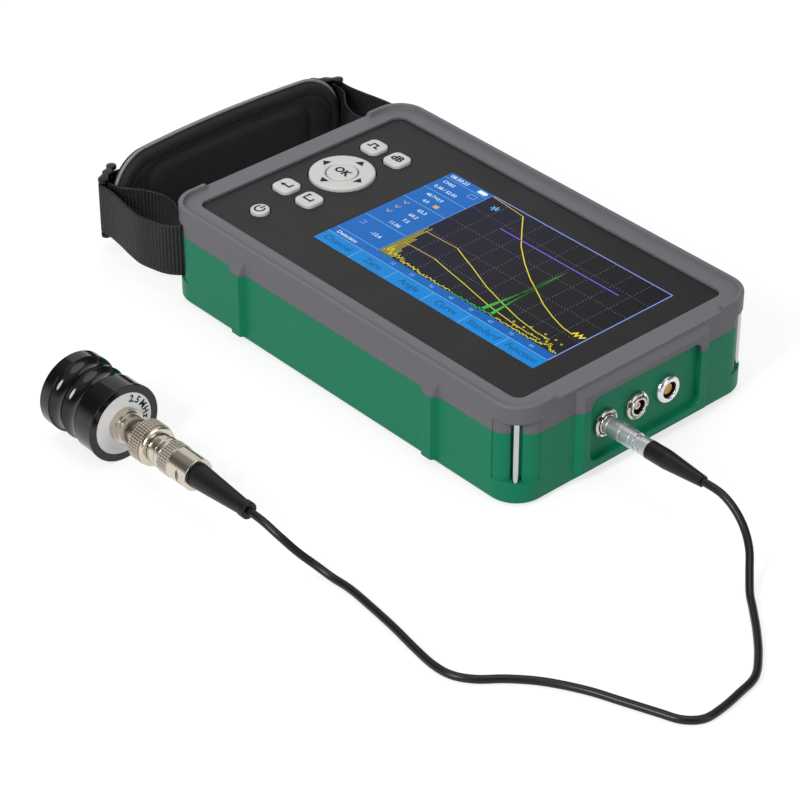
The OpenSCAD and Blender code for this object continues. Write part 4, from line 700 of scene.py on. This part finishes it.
def turned(shape, y, profile, count=72, closed=False, notch=None, z=socket_z):
    """Turn a profile of (x, radius) pairs round an axis along X, with or without four front
    notches, which stand at an angle in degrees."""
    rings = []
    for x, r in profile:
        ring = []
        for k in range(count):
            a = 2 * math.pi * k / count
            from_notch = (a - math.radians(notch or 0) + math.pi / 4) % (math.pi / 2) - math.pi / 4
            cut = notch and abs(from_notch) < notch_half
            ring.append((min(x, notch_floor) if cut else x, y + r * math.cos(a), z + r * math.sin(a)))
        rings.append(ring)
    loft(shape, rings, closed=closed)


def shade_bore(shape, y, r):
    """Give the faces inside a bore the second material of their piece, a dark brown that is painted shade."""
    for face in shape.faces:
        middle = face.calc_center_median()
        if math.hypot(middle.y - y, middle.z - socket_z) < r:
            face.material_index = 1


shells, bore_r, bore_end = bmesh.new(), 2.55, 82.3
for y in (plugged_y, free_y):
    turned(shells, y, [(bore_end, 0.1), (bore_end, bore_r), (89.9, bore_r), (90.15, 2.64), (90.28, 2.85),
                       (90.3, 3.1), (90.2, 3.34), (90.0, 3.47), (89.7, 3.5), (shell_back, 3.5)])
    shade_bore(shells, y, bore_r + 0.01)
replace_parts(piece("coax_shells", shells, "device", [nickel, bore_painted_shade], 50), "coax_sockets")
nuts, seat_x = bmesh.new(), 88.0
for y, notch in ((plugged_y, 46), (free_y, 61)):
    turned(nuts, y, [(seat_x, 3.8), (seat_x, 5.0), (88.9, 5.0), (89.3, 4.94), (89.58, 4.8), (89.78, 4.55),
                     (89.88, 4.3), (89.9, 4.1), (89.84, 3.92), (89.6, 3.82)], 96, closed=True, notch=notch)
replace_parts(piece("round_nuts", nuts, "device", [nickel], 40), "socket_ring_nuts")
sleeves = bmesh.new()
for y, front in ((plugged_y, 88.1), (free_y, 89.3)):
    turned(sleeves, y, [(bore_end, 0.82), (bore_end, 1.3), (front - 0.12, 1.3), (front, 1.18), (front, 0.9),
                        (front - 0.1, 0.82)], 32, closed=True)
white = skin("insulator_white", ink(248, 236, 228), 0.4)
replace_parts(piece("white_sleeves", sleeves, "device", [white], 40), "socket_insulators")
dress("socket_back_nuts", nickel, 0.1)
dress("socket_contacts", gold, 0.08)

# Data socket: a turned shell with a broad bright flange, held by the third hexagon nut inside. Its
# five gold contacts end flush with an insert of amber plastic.
bright = skin("bright_nickel", ink(216, 218, 224), 0.2, (900, 260, 260), 0.000001, 0.1, 0.1, Metallic=1.0)
data_y, data_bore_r, data_end = 12.6, 2.9, 83.3
flange = bmesh.new()
turned(flange, data_y, [(data_end, 0.1), (data_end, data_bore_r), (89.5, data_bore_r), (89.85, 2.98),
                        (90.1, 3.2), (90.22, 3.6), (90.16, 4.05), (89.95, 4.5), (89.6, 4.85), (89.15, 5.1),
                        (88.7, 5.2), (seat_x, 5.2), (seat_x, 3.5), (shell_back, 3.5)], 96)
shade_bore(flange, data_y, data_bore_r + 0.02)
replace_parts(piece("data_shell", flange, "device", [bright, bore_painted_shade], 50), "data_socket")
insert, insert_face = bmesh.new(), 88.9
turned(insert, data_y, [(data_end, 0.1), (data_end, 2.0), (88.75, 2.0), (88.86, 1.95), (insert_face, 1.8),
                        (insert_face, 0.1)], 48)
amber = skin("insert_amber", ink(222, 166, 92), 0.32, 1400, 0.00001, 0.3)
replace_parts(piece("amber_insert", insert, "device", [amber], 50), "data_insert")
contacts, contact_count, contact_ring = bmesh.new(), 5, 1.2
tube_start, tube_end, tube_r, tube_bore = seat_x, 89.0, 0.3, 0.16
for k in range(contact_count):
    a = 2 * math.pi * k / contact_count
    turned(contacts, data_y + contact_ring * math.cos(a),
           [(tube_start, tube_bore), (tube_start, tube_r), (tube_end, tube_r), (tube_end, tube_bore)], 16,
           closed=True, z=socket_z + contact_ring * math.sin(a))
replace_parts(piece("data_contacts", contacts, "device", [gold], 50), "data_pins")

# Hand strap pad: moulded foam, covered on both sides with black knit and pressed in a heated
# mould, which gives the raised middle field; it is sewn along a channel near its edge.
pad_half_l, pad_half_h, pad_corner = 51.8, 16.7, 15.5
pad_x, pad_z, pad_bow = -125.8, 18.2, 3.8
bow_r = (pad_half_l ** 2 + pad_bow ** 2) / (2 * pad_bow)
edge_half_t, edge_roll = 1.7, 1.7
field_half_l, field_half_h, field_corner, field_rise = 31.5, 4.0, 5.0, 1.1
channel_in, channel_w, channel_deep = 3.8, 0.6, 0.3
press_in, press_w, press_deep = 2.6, 0.7, 0.36


def bow(y):
    """Place across of the pad's middle sheet, which is bent to a long arc."""
    return pad_x + bow_r - math.sqrt(bow_r ** 2 - y ** 2)


def pad_outline(inset, corner_steps=14, side_steps=22):
    """Points round the pad, drawn in by an inset, as (along, up)."""
    r, a, b = pad_corner - inset, pad_half_l - pad_corner, pad_half_h - pad_corner
    points = []
    for k, (sx, sy) in enumerate([(1, 1), (-1, 1), (-1, -1), (1, -1)]):
        for j in range(corner_steps + 1):
            t = (k + j / corner_steps) * math.pi / 2
            points.append((a * sx + r * math.cos(t), b * sy + r * math.sin(t)))
        if k in (0, 2):
            for j in range(1, side_steps):
                points.append((a * sx * (1 - 2 * j / side_steps), sy * (b + r)))
    return points


def smooth_step(low, high, value):
    """Even rise from 0 to 1 between two values."""
    share_in = min(1.0, max(0.0, (value - low) / (high - low)))
    return share_in * share_in * (3 - 2 * share_in)


def groove(inset, middle, width, deep):
    """Depth of a soft groove that runs round the pad."""
    return deep * math.exp(-((inset - middle) / width) ** 2)


def rolled(inset, rise):
    """Half thickness of the pad over its rolled edge."""
    share_in = min(1.0, inset / edge_roll)
    return edge_half_t + rise * math.sqrt(share_in * (2 - share_in))


def pad_front(inset, along, up):
    """Height of the pad's face over its middle sheet: rolled edge, sewn channel, raised field."""
    beside = math.hypot(max(abs(along) - field_half_l, 0.0), max(abs(up) - field_half_h, 0.0)) - field_corner
    field = field_rise * (1 - smooth_step(-1.7, 0.9, beside)) - groove(beside, 1.6, 1.3, 0.45)
    return rolled(inset, 1.5) - groove(inset, channel_in, channel_w, channel_deep) + field


def pad_back(inset):
    """Depth of the pad's back under its middle sheet."""
    return rolled(inset, 1.55) - groove(inset, press_in, press_w, press_deep)


# Knit face of the foam: rows of small loops, rubbed a little lighter where it is handled
knit, given, made = effect("knit_face", {"Colour": "colour", "Pitch": "value", "Fade": "value"}, SURFACE)
spot = place_on(knit)
side_y, side_z = (put(knit, "ShaderNodeSeparateXYZ", {0: spot}).outputs[k] for k in (1, 2))
rows_y = sums(knit, "SINE", sums(knit, "MULTIPLY", side_y, given["Pitch"]))
rows_z = sums(knit, "SINE", sums(knit, "MULTIPLY", side_z, given["Pitch"]))
loops = sums(knit, "MULTIPLY", rows_y, rows_z)
fuzz = noise(knit, spot, 2200.0, 3.0)
worn = noise(knit, spot, 60.0, 3.0)
height = sums(knit, "MULTIPLY_ADD", loops, 0.3, fuzz)
base = sums(knit, "MULTIPLY_ADD", height, 0.3, 0.85)
lift = sums(knit, "MULTIPLY_ADD", sums(knit, "SUBTRACT", worn, 0.5), given["Fade"], base)
knit.links.new(tint(knit, given["Colour"], lift), made["Colour"])
knit.links.new(sums(knit, "MULTIPLY_ADD", worn, 0.1, 0.78), made["Roughness"])
knit.links.new(height, made["Height"])


def cloth(name, colour, pitch, relief, **even):
    """A knitted or woven finish with so many loops to the metre."""
    material, tree, shader = start_finish(name, **even)
    use_effect(tree, shader, knit, relief, Colour=colour, Pitch=pitch, Fade=0.3)
    return material


pad_insets = [0, 0.25, 0.6, 1.0, 1.5, 1.9, 2.25, 2.6, 2.95, 3.3, channel_in, 4.6, 5.4, 6.2, 7.0, 7.8, 8.6,
              9.4, 10.2, 11.2, 12.4, 13.6, 14.8]
pad_shape = bmesh.new()
front, back = [], []
for inset in pad_insets:
    outline = pad_outline(inset)
    front.append([(bow(y) + pad_front(inset, y, z), y, pad_z + z) for y, z in outline])
    back.append([(bow(y) - pad_back(inset), y, pad_z + z) for y, z in outline])
loft(pad_shape, list(reversed(back)) + front, ends=False)

# The middle of each face is closed with quads across the last ring
pad_shape.verts.ensure_lookup_table()
count = len(front[0])
for first, flip in ((0, True), (len(pad_shape.verts) - count, False)):
    ring = [pad_shape.verts[first + i] for i in range(count)]
    for i in range(count // 2 - 1):
        quad = (ring[i], ring[i + 1], ring[count - 2 - i], ring[count - 1 - i])
        pad_shape.faces.new(tuple(reversed(quad)) if flip else quad)
bmesh.ops.recalc_face_normals(pad_shape, faces=pad_shape.faces)
pad_knit = cloth("pad_knit", ink(42, 42, 43), 12000, 0.00012, Specular_IOR_Level=0.15)
pad = piece("hand_pad", pad_shape, "device", [pad_knit], 180)
soft = pad.modifiers.new("soft", "SUBSURF")
soft.levels = soft.render_levels = 1
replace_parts(pad, "strap_pad")

# Sewing of the pad: doubled polyester thread in the channel, 2.4 mm to a stitch, and a second
# seam at each end where the webbing is caught.
thread = skin("sewing_thread", ink(16, 16, 17), 0.6, 5000, 0.00004, 0.3, Specular_IOR_Level=0.1)
thread_r, stitch_rise, stitch_pitch, stitch_gap, seam_r = 0.17, 0.16, 2.4, 0.8, 9.8
seams = bmesh.new()


def stitch(a, b):
    """One stitch as a short bent tube between two points."""
    a, b, off = Vector(a), Vector(b), Vector((1, 0, 0))
    side = (b - a).normalized().cross(off).normalized()
    rows = []
    for k in range(5):
        centre = a.lerp(b, k / 4) + stitch_rise * math.sin(math.pi * k / 4) * off
        r = thread_r * (0.5 if k in (0, 4) else 1.0)
        angles = [j * math.pi / 3 for j in range(6)]
        rows.append([centre + r * (math.cos(t) * side + math.sin(t) * off) for t in angles])
    loft(seams, rows)


def sew(points):
    """Stitches of even pitch through points of the pad's face, each (along, up, inset)."""
    walked, begin = 0.0, None
    for (y0, z0, i0), (y1, z1, i1) in zip(points, points[1:]):
        length = math.hypot(y1 - y0, z1 - z0)
        steps = max(1, int(length / 0.2))
        for k in range(steps):
            t = k / steps
            y, z, inset = y0 + (y1 - y0) * t, z0 + (z1 - z0) * t, i0 + (i1 - i0) * t
            here = (bow(y) + pad_front(inset, y, z) + 0.02, y, pad_z + z)
            in_thread = walked % stitch_pitch < stitch_pitch - stitch_gap
            if in_thread and begin is None:
                begin = here
            elif begin is not None and not in_thread:
                stitch(begin, here)
                begin = None
            walked += length / steps


seam = pad_outline(channel_in, 20, 2)
sew([(y, z, channel_in) for y, z in seam + seam[:1]])
for end in (-1, 1):
    line = []
    for k in range(25):
        t = math.radians(-62 + 124 * k / 24)
        out = pad_half_l - pad_corner + seam_r * math.cos(t)
        line.append((end * out, seam_r * math.sin(t), pad_corner - seam_r))
    sew(line)
piece("pad_seams", seams, "device", [thread], 60)

# Piping: woven light grey tape folded round a thin cord. It is sewn into the pad's edge all the
# way round, between the two faces.
piping_r = 0.6
piping_line = bpy.data.curves.new("pad_piping_tube", "CURVE")
piping_line.dimensions = "3D"
piping_line.bevel_depth = piping_r * MM
piping_line.bevel_resolution = 4
loop = piping_line.splines.new("POLY")
line = pad_outline(-piping_r - 0.05, 20, 30)
loop.points.add(len(line) - 1)
for i, (y, z) in enumerate(line):
    loop.points[i].co = (bow(y) * MM, y * MM, (pad_z + z) * MM, 1)
loop.use_cyclic_u = True
tape = cloth("piping_weave", ink(138, 138, 142), 16000, 0.00008, Specular_IOR_Level=0.2)
piping_line.materials.append(tape)
piping = place_in("pad_piping_tube", piping_line)
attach(piping, "device")
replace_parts(piping, "pad_piping")

# Webbing: one length of ribbed black polypropylene, 20 mm wide. It runs behind the pad, through
# each three-bar slide, round the steel pin in the corner pocket and back to the slide.
web_w, web_t, web_z = 20.0, 0.9, 8.4
pin_x, pin_y, pin_wrap, pin_reach = 83.838, 50.838, 1.55, 11
slide_x, slide_y, slide_turn, slide_pitch = -126.6667, -51.2, math.radians(35), 4.7
bar_wrap, slip_gap = 1.45, 0.1
over_wrap = bar_wrap + web_t + slip_gap

# Angles at which the strap leaves one bar for the next: across, over the doubled part, and down
cross = math.degrees(math.acos(2 * bar_wrap / slide_pitch))
dive = math.degrees(math.acos((bar_wrap + over_wrap) / slide_pitch))
crest = math.degrees(math.acos((over_wrap - bar_wrap) / slide_pitch))


def at_slide(p, q):
    """Place of a point of the slide, p along its bars' row and q out of it."""
    s, c = math.sin(slide_turn), math.cos(slide_turn)
    return Vector((slide_x - p * s - q * c, slide_y + p * c - q * s))


def round_bar(centre, r, degrees):
    """Point on the strap's way round a bar."""
    a = math.radians(degrees)
    return at_slide(centre + r * math.cos(a), r * math.sin(a))


def round_pin(degrees):
    """Point on the strap's way round the steel pin."""
    a = math.radians(degrees)
    return Vector((-pin_x - pin_wrap * math.cos(a), -pin_y - pin_wrap * math.sin(a)))


def beside_pin(out, past):
    """Point near the pin, where the strap leaves its pocket."""
    return Vector((-pin_x - out * pin_reach, -pin_y - past * pin_reach))


def bulge(a, b, share, side):
    """Point a share of the way from a to b, and a share of their distance to the side."""
    d = b - a
    return a + share * d + side * Vector((-d.y, d.x))


def curve_through(points, steps):
    """Smooth line through points, without its last point."""
    out = []
    for i in range(len(points) - 1):
        a, b, c, d = points[max(i - 1, 0)], points[i], points[i + 1], points[min(i + 2, len(points) - 1)]
        for k in range(steps):
            t = k / steps
            bend, twist = 2 * a - 5 * b + 4 * c - d, 3 * b - a - 3 * c + d
            out.append((2 * b + (c - a) * t + bend * t ** 2 + twist * t ** 3) / 2)
    return out


def turns(first, last, step):
    """Angles from first to last, both included."""
    out = []
    while (step > 0 and first <= last + 1e-6) or (step < 0 and first >= last - 1e-6):
        out.append(first)
        first += step
    return out


inner_end = round_bar(-slide_pitch, bar_wrap, -cross)
outer_end = round_bar(-slide_pitch, bar_wrap, 150)
pin_at = Vector((-pin_x, -pin_y))
inner_run = [bulge(pin_at, inner_end, share, -side) for share, side in (
    (0.86, 0.02), (0.75, 0.09), (0.65, 0.15), (0.53, 0.19), (0.44, 0.20), (0.33, 0.18), (0.20, 0.12))]
outer_run = [bulge(pin_at, outer_end, share, side) for share, side in (
    (0.38, 0.16), (0.54, 0.12), (0.72, 0.06), (0.88, 0.015))]
pocket_run = [beside_pin(*place) for place in ((-0.14, 0.18), (0.12, 0.43), (0.38, 0.58), (0.74, 0.68))]
pad_back_t = 3.44
web_back = pad_back_t + web_t / 2 + slip_gap
half_way = [round_bar(0, bar_wrap, a) for a in turns(-100, 180 - cross, 12)]
half_way += curve_through([inner_end] + inner_run + [beside_pin(0.33, -0.17), round_pin(285)], 10)
half_way += [round_pin(a) for a in turns(285, 195, -15)]
half_way += curve_through([round_pin(165)] + pocket_run + outer_run + [outer_end], 10)
half_way += [round_bar(-slide_pitch, bar_wrap, a) for a in turns(150, 180 - crest, -8)]
half_way += [round_bar(0, over_wrap, a) for a in turns(180 - crest, dive, -8)]
half_way += [round_bar(slide_pitch, bar_wrap, a) for a in turns(dive - 180, -90, 10)]
half_way += [Vector((bow(y) - web_back, y)) for y in (pad_half_l * share / 100 for share in range(-78, 0, 5))]
web_way = half_way + [Vector((p.x, -p.y)) for p in reversed(half_way)]


def evenly(points, step):
    """The same line in even steps."""
    out, carry = [points[0]], 0.0
    for a, b in zip(points, points[1:]):
        length = (b - a).length
        while carry + length >= step:
            a = a + (b - a) * ((step - carry) / length)
            length = (b - a).length
            out.append(a)
            carry = 0.0
        carry += length
    return out


rib_pitch, rib_steps, rib_depth = 1.36, 6, 0.3
web_line = evenly(web_way, rib_pitch / rib_steps)
web_shape = bmesh.new()
rows = []
for i, p in enumerate(web_line):
    ahead = web_line[min(i + 1, len(web_line) - 1)] - web_line[max(i - 1, 0)]
    side = Vector((-ahead.y, ahead.x)).normalized()
    rib = web_t / 2 - rib_depth * (1 - math.sqrt(1 - (2 * (i % rib_steps) / rib_steps - 1) ** 2 * 0.98))
    section = [(rib * 0.4, 0.0), (rib * 0.9, 0.25), (rib, 0.9), (rib, web_w / 2), (rib, web_w - 0.9),
               (rib * 0.9, web_w - 0.25), (rib * 0.4, web_w)]
    section += [(-t, z) for t, z in reversed(section)]
    rows.append([(p.x + side.x * t, p.y + side.y * t, web_z + z) for t, z in section])
loft(web_shape, rows)
bmesh.ops.recalc_face_normals(web_shape, faces=web_shape.faces)

# Thread of the webbing: slanted ends of the warp on each rib, a little dust in the valleys
warp, given, made = effect("warp_threads", {"Colour": "colour", "Thread": "value", "Dust": "value"}, SURFACE)
spot = place_on(warp)
thread_z = put(warp, "ShaderNodeSeparateXYZ", {0: spot}).outputs[2]
wobble = noise(warp, spot, 900.0, 2.0)
slant = sums(warp, "MULTIPLY_ADD", thread_z, given["Thread"], sums(warp, "MULTIPLY", wobble, 3.0))
ends = sums(warp, "SINE", slant)
dusty = noise(warp, spot, 140.0, 4.0)
lift = sums(warp, "MULTIPLY_ADD", dusty, given["Dust"], sums(warp, "MULTIPLY_ADD", ends, 0.14, 0.86))
warp.links.new(tint(warp, given["Colour"], lift), made["Colour"])
warp.links.new(sums(warp, "MULTIPLY_ADD", wobble, 0.2, 0.42), made["Roughness"])
warp.links.new(sums(warp, "MULTIPLY_ADD", ends, 0.5, wobble), made["Height"])
web_finish, web_tree, web_shader = start_finish("webbing_weave", Specular_IOR_Level=0.4)
use_effect(web_tree, web_shader, warp, 0.0001, Colour=ink(13, 13, 14), Thread=9000.0, Dust=0.3)
webbing = piece("webbing", web_shape, "device", [web_finish], 50)
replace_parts(webbing, "strap_webbing")

# Slides: moulded in one shot of black nylon, three round bars between two lobed end plates. The
# webbing threads them and grips itself, so the strap holds its length.
slide_r, slide_lobe, slide_waist, lobe_steps = 0.9, 1.9, 1.2, 36
plate_lows = (6.4, 28.9)
plate_profile = ((0.4, 0.0), (0.1, 0.12), (0.0, 0.4), (0.0, 1.1), (0.1, 1.38), (0.4, 1.5))
bar_low, bar_high = 7.6, 29.2


def lobed(inset, z, mirror):
    """Outline of an end plate with a round lobe over each bar."""
    reach = slide_pitch + slide_lobe - inset
    upper = []
    for k in range(lobe_steps + 1):
        p = -reach * math.cos(math.pi * k / lobe_steps)
        past = max(abs(p) - slide_pitch, 0.0)
        wave = math.cos(math.pi * min(abs(p), slide_pitch) / slide_pitch)
        swell = slide_waist + (slide_lobe - slide_waist) * wave ** 2
        upper.append((p, math.sqrt(max((swell - inset) ** 2 - past ** 2, 0.0001))))
    outline = [at_slide(p, q) for p, q in upper] + [at_slide(p, -q) for p, q in reversed(upper[1:-1])]
    return [(v.x, v.y * mirror, z) for v in outline]


slides = bmesh.new()
for mirror in (1, -1):
    for low in plate_lows:
        loft(slides, [lobed(inset, low + up, mirror) for inset, up in plate_profile])
    for p in (-slide_pitch, 0, slide_pitch):
        angles = [k * math.pi / 12 for k in range(24)]
        ring = [at_slide(p + slide_r * math.cos(a), slide_r * math.sin(a)) for a in angles]
        loft(slides, [[(v.x, v.y * mirror, z) for v in ring] for z in (bar_low, bar_high)])
bmesh.ops.recalc_face_normals(slides, faces=slides.faces)
nylon = skin("slide_nylon", ink(8, 8, 9), 0.2, 1500, 0.00001, 0.2, Specular_IOR_Level=0.3)
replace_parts(piece("slides", slides, "device", [nylon], 40), "strap_buckles")

# Push-pull plug: turned shell and sleeve with a satin chromium skin, a clamping nut with two
# flats, a gold pin, and a plain tapered rubber boot moulded over the lead.
satin = skin("plug_satin", ink(214, 216, 220), 0.42, (2600, 120, 120), 0.00001, 0.3, 0.1, Metallic=1.0)
boot = skin("boot_rubber", ink(20, 20, 21), 0.36, 1600, 0.00001, 0.2, Specular_IOR_Level=0.25)
dress("plug_shell", satin)
dress("plug_sleeve", satin, 0.12)
dress("plug_collet_nut", satin, 0.15)
dress("plug_pin", gold)
dress("plug_boot", boot)

# Bayonet plug: nickel-plated turned parts with square-cut knurls. The coupling nut locks with a
# quarter turn; a clamping nut with flats and a rubber boot hold the lead.
probe_y, probe_z, face_x = -127.5, 13.0, -19.0
warm = skin("bayonet_nickel", ink(206, 198, 184), 0.18, (3600, 240, 240), 0.000006, 0.16, 0.12, Metallic=1.0)
knurl_cuts, cut_edge, cut_slope, points_per_tooth = 4, 0.1, 0.22, 4


def hoop(s, r, teeth, valley_depth=0.0):
    """Ring of points round the probe's axis, with a valley beside each tooth if it has a depth."""
    points, count = [], teeth * points_per_tooth
    for k in range(count):
        a = 2 * math.pi * k / count
        here = r - (valley_depth if k % points_per_tooth >= points_per_tooth / 2 else 0.0)
        points.append((face_x + s, probe_y + here * math.cos(a), probe_z + here * math.sin(a)))
    return points


def knurled(s0, s1, r, teeth, depth):
    """Rows of a straight knurl broken by a few cross cuts."""
    rows, span = [hoop(s0, r - 0.35, teeth)], (s1 - s0) / knurl_cuts
    for k in range(knurl_cuts):
        low, high = s0 + span * k, s0 + span * k + span
        rows += [hoop(low + cut_edge, r - depth, teeth), hoop(low + cut_slope, r, teeth, depth),
                 hoop(high - cut_slope, r, teeth, depth), hoop(high - cut_edge, r - depth, teeth)]
    return rows + [hoop(s1, r - 0.35, teeth)]


# Painted shade and highlight: a darker nickel for the knurl's valleys and cuts, a lighter one for its teeth.
valley = skin("knurl_valley_shade", ink(128, 116, 100), 0.45, 900, 0.000004, 0.2, Metallic=1.0)
tooth = skin("knurl_tooth_highlight", ink(218, 210, 197), 0.45, 900, 0.000004, 0.1, Metallic=1.0)


def paint_knurl_light(shape, r, depth, end_s):
    """Teeth are duller than the turned faces and a little lighter, a painted highlight; the valleys between
    them are darker, a painted shade.
    """
    for face in shape.faces:
        middle = face.calc_center_median()
        up_r = math.hypot(middle.y - probe_y, middle.z - probe_z) - (r - depth)
        if -0.05 < up_r < depth + 0.1 and middle.x < face_x + end_s:
            face.material_index = 1 if up_r < depth / 4 else 2


nut_shape = bmesh.new()
nut_teeth, nut_r, nut_depth = 46, 7.25, 0.36
nut_bore = [(16.6, 4.25), (16.6, 5.7), (11.3, 5.7), (11.1, 5.9)]
nut_collar = [(16.15, 6.5), (16.3, 6.8), (16.6, 6.95), (17.5, 6.95), (18.0, 6.7), (18.2, 6.2), (18.2, 4.25)]
nut_rows = [hoop(s, r, nut_teeth) for s, r in nut_bore]
nut_rows += knurled(11.1, 16.1, nut_r, nut_teeth, nut_depth)
nut_rows += [hoop(s, r, nut_teeth) for s, r in nut_collar]
loft(nut_shape, nut_rows, closed=True)
bmesh.ops.recalc_face_normals(nut_shape, faces=nut_shape.faces)
paint_knurl_light(nut_shape, nut_r, nut_depth, 16.0)
knurl_looks = [warm, valley, tooth]
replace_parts(piece("coupling_nut", nut_shape, "bnc_coupling", knurl_looks, 30), "bnc_coupling")
grip_shape = bmesh.new()
grip_teeth, grip_r, grip_depth = 38, 5.86, 0.24
grip_start, grip_end, grip_bore = 24.3, 29.0, 5.0
grip_rows = [hoop(grip_start, grip_bore, grip_teeth)]
grip_rows += knurled(grip_start, grip_end, grip_r, grip_teeth, grip_depth)
grip_rows.append(hoop(grip_end, grip_bore, grip_teeth))
loft(grip_shape, grip_rows, closed=True)
bmesh.ops.recalc_face_normals(grip_shape, faces=grip_shape.faces)
paint_knurl_light(grip_shape, grip_r, grip_depth, grip_end - 0.05)
piece("grip_knurl", grip_shape, "device", knurl_looks, 30)
dress("bnc_body", warm, 0.15)
dress("bnc_back_nut", warm, 0.2)
dress("bnc_boot", boot, 0.25, 20, 3)
dress("bnc_pin", gold)

# Probe jack: a nickel-plated panel connector screwed into the top of the probe with a flat nut. A
# white insulator carries its contact.
dress("probe_jack", warm, 0.15)
dress("jack_nut", warm, 0.25)
dress("jack_insulator", skin("jack_insulator_white", ink(228, 226, 220), 0.4))

# Probe housing: turned from black rod with two waisted grips for the fingers, and finished with a
# hard gloss coat.
gloss = skin("gloss_black", ink(7, 7, 8), 0.13, 500, 0.000004, 0.2, 0.06, Specular_IOR_Level=0.36,
             Coat_Weight=0.14, Coat_Roughness=0.04)
dress("probe_sleeve", gloss, 0.2, 32, 3)

# Inside of the probe: a ceramic element on a block of filled resin that damps it, cast into the
# housing, and a hard wear plate bonded over the element.
dress("probe_core", skin("core_filler", ink(96, 82, 82), 0.7, 900, 0.0001, 0.3))
dress("probe_element", skin("element_ceramic", ink(216, 206, 170), 0.55))
dress("wear_plate", skin("wear_ceramic", ink(82, 82, 86), 0.24, 700, 0.000006, 0.2))

# Label: a ring of white plastic film stuck on the top of the probe, round the jack. The frequency
# is printed on it, one figure after another along the ring.
dress("probe_label", skin("label_white", ink(244, 244, 246), 0.4, 1800, 0.00001, 0.03))
print_r, print_capital, print_gap = 7.8, 2.5, 0.03
label_print = bmesh.new()
for mark, turn in zip("2.5 MHz", (67, 58, 48, 40, 28, 9, -6)):
    glyph = bmesh.new()
    letters(glyph, mark, print_capital, (0, 0), 0, 0, "CENTER", 0.12)
    s, c = math.sin(math.radians(turn - 90)), math.cos(math.radians(turn - 90))
    for vert in glyph.verts:
        x, y = vert.co.x, vert.co.y + print_r
        vert.co = (face_x + print_gap, probe_y + x * c - y * s, probe_z + x * s + y * c)
    scratch = bpy.data.meshes.new("glyph")
    glyph.to_mesh(scratch)
    label_print.from_mesh(scratch)
    glyph.free()
    bpy.data.meshes.remove(scratch)
piece("label_figures", label_print, "device", [sign_ink])

# Bench: a plain pale board, painted matt, at the height of the rubber feet. It takes the soft
# shadow of the part and is white where the camera or a bright metal face sees it.
bench_z, bench_half = -0.0008, 3.0
bench_shape = bmesh.new()
under_feet = Matrix.Translation((0, 0, bench_z))
bmesh.ops.create_grid(bench_shape, x_segments=1, y_segments=1, size=bench_half, matrix=under_feet)
bench_mesh = bpy.data.meshes.new("bench")
bench_shape.to_mesh(bench_mesh)
bench_shape.free()
bench = place_in("bench", bench_mesh)
board, board_tree, board_shader = start_finish("bench_white", Base_Color=(0.36, 0.36, 0.36, 1), Roughness=0.9,
                                               Specular_IOR_Level=0.0, Emission_Color=(1, 1, 1, 1))
rays = put(board_tree, "ShaderNodeLightPath").outputs
bounced = sums(board_tree, "MAXIMUM", rays["Is Glossy Ray"], rays["Is Transmission Ray"])
seen = sums(board_tree, "MAXIMUM", rays["Is Camera Ray"], bounced)
board_tree.links.new(sums(board_tree, "MULTIPLY", seen, 0.7), board_shader.inputs["Emission Strength"])
bench_mesh.materials.append(board)

# Studio light: a pale room, white behind the part, dim at eye level and brighter at its ceiling,
# as bright metal shows it. Four oval soft boxes light the bench: in front, overhead, at the right,
# and behind on the left.
room = bpy.data.worlds.new("room")
room.use_nodes = True
scene.world = room
air = room.node_tree
rays = put(air, "ShaderNodeLightPath").outputs
seen = sums(air, "MAXIMUM", rays["Is Camera Ray"], rays["Is Transmission Ray"])
outward = put(air, "ShaderNodeTexCoord").outputs["Generated"]
upward = put(air, "ShaderNodeSeparateXYZ", {0: outward}).outputs[2]


def wall_band(from_up, to_up, start, end):
    """Brightness of the room between two heights."""
    return put(air, "ShaderNodeMapRange", {"Value": upward, "From Min": from_up, "From Max": to_up,
                                           "To Min": start, "To Max": end}).outputs[0]


dimmer = sums(air, "MAXIMUM", wall_band(0.02, 0.32, 1.0, 0.12), wall_band(0.62, 0.95, 0.12, 0.6))
shown = sums(air, "MAXIMUM", seen, sums(air, "MULTIPLY", rays["Is Glossy Ray"], dimmer))
on_faces = sums(air, "MULTIPLY", rays["Is Diffuse Ray"], 0.42)
sky = air.nodes["Background"]
air.links.new(sums(air, "MAXIMUM", shown, on_faces), sky.inputs["Strength"])
sky.inputs["Color"].default_value = (1, 1, 1, 1)


def soft_box(name, place, size, watts):
    """An oval soft box that points at the middle of the case."""
    lamp = bpy.data.lights.new(name, "AREA")
    lamp.shape = "ELLIPSE"
    lamp.size, lamp.size_y = size
    lamp.energy = watts
    holder = place_in(name, lamp)
    holder.location = place
    holder.rotation_mode = "QUATERNION"
    holder.rotation_quaternion = (-Vector(place)).to_track_quat("-Z", "Y")


soft_box("key_box", (0.2, -1.25, 0.85), (0.42, 0.74), 13.6)
soft_box("top_box", (-0.1, 0.2, 1.5), (1.3, 1.3), 6.0)
soft_box("side_box", (1.2, 0.1, 0.6), (0.6, 0.9), 3.0)
soft_box("back_box", (-0.8, 0.4, 0.46), (0.85, 0.85), 1.3)
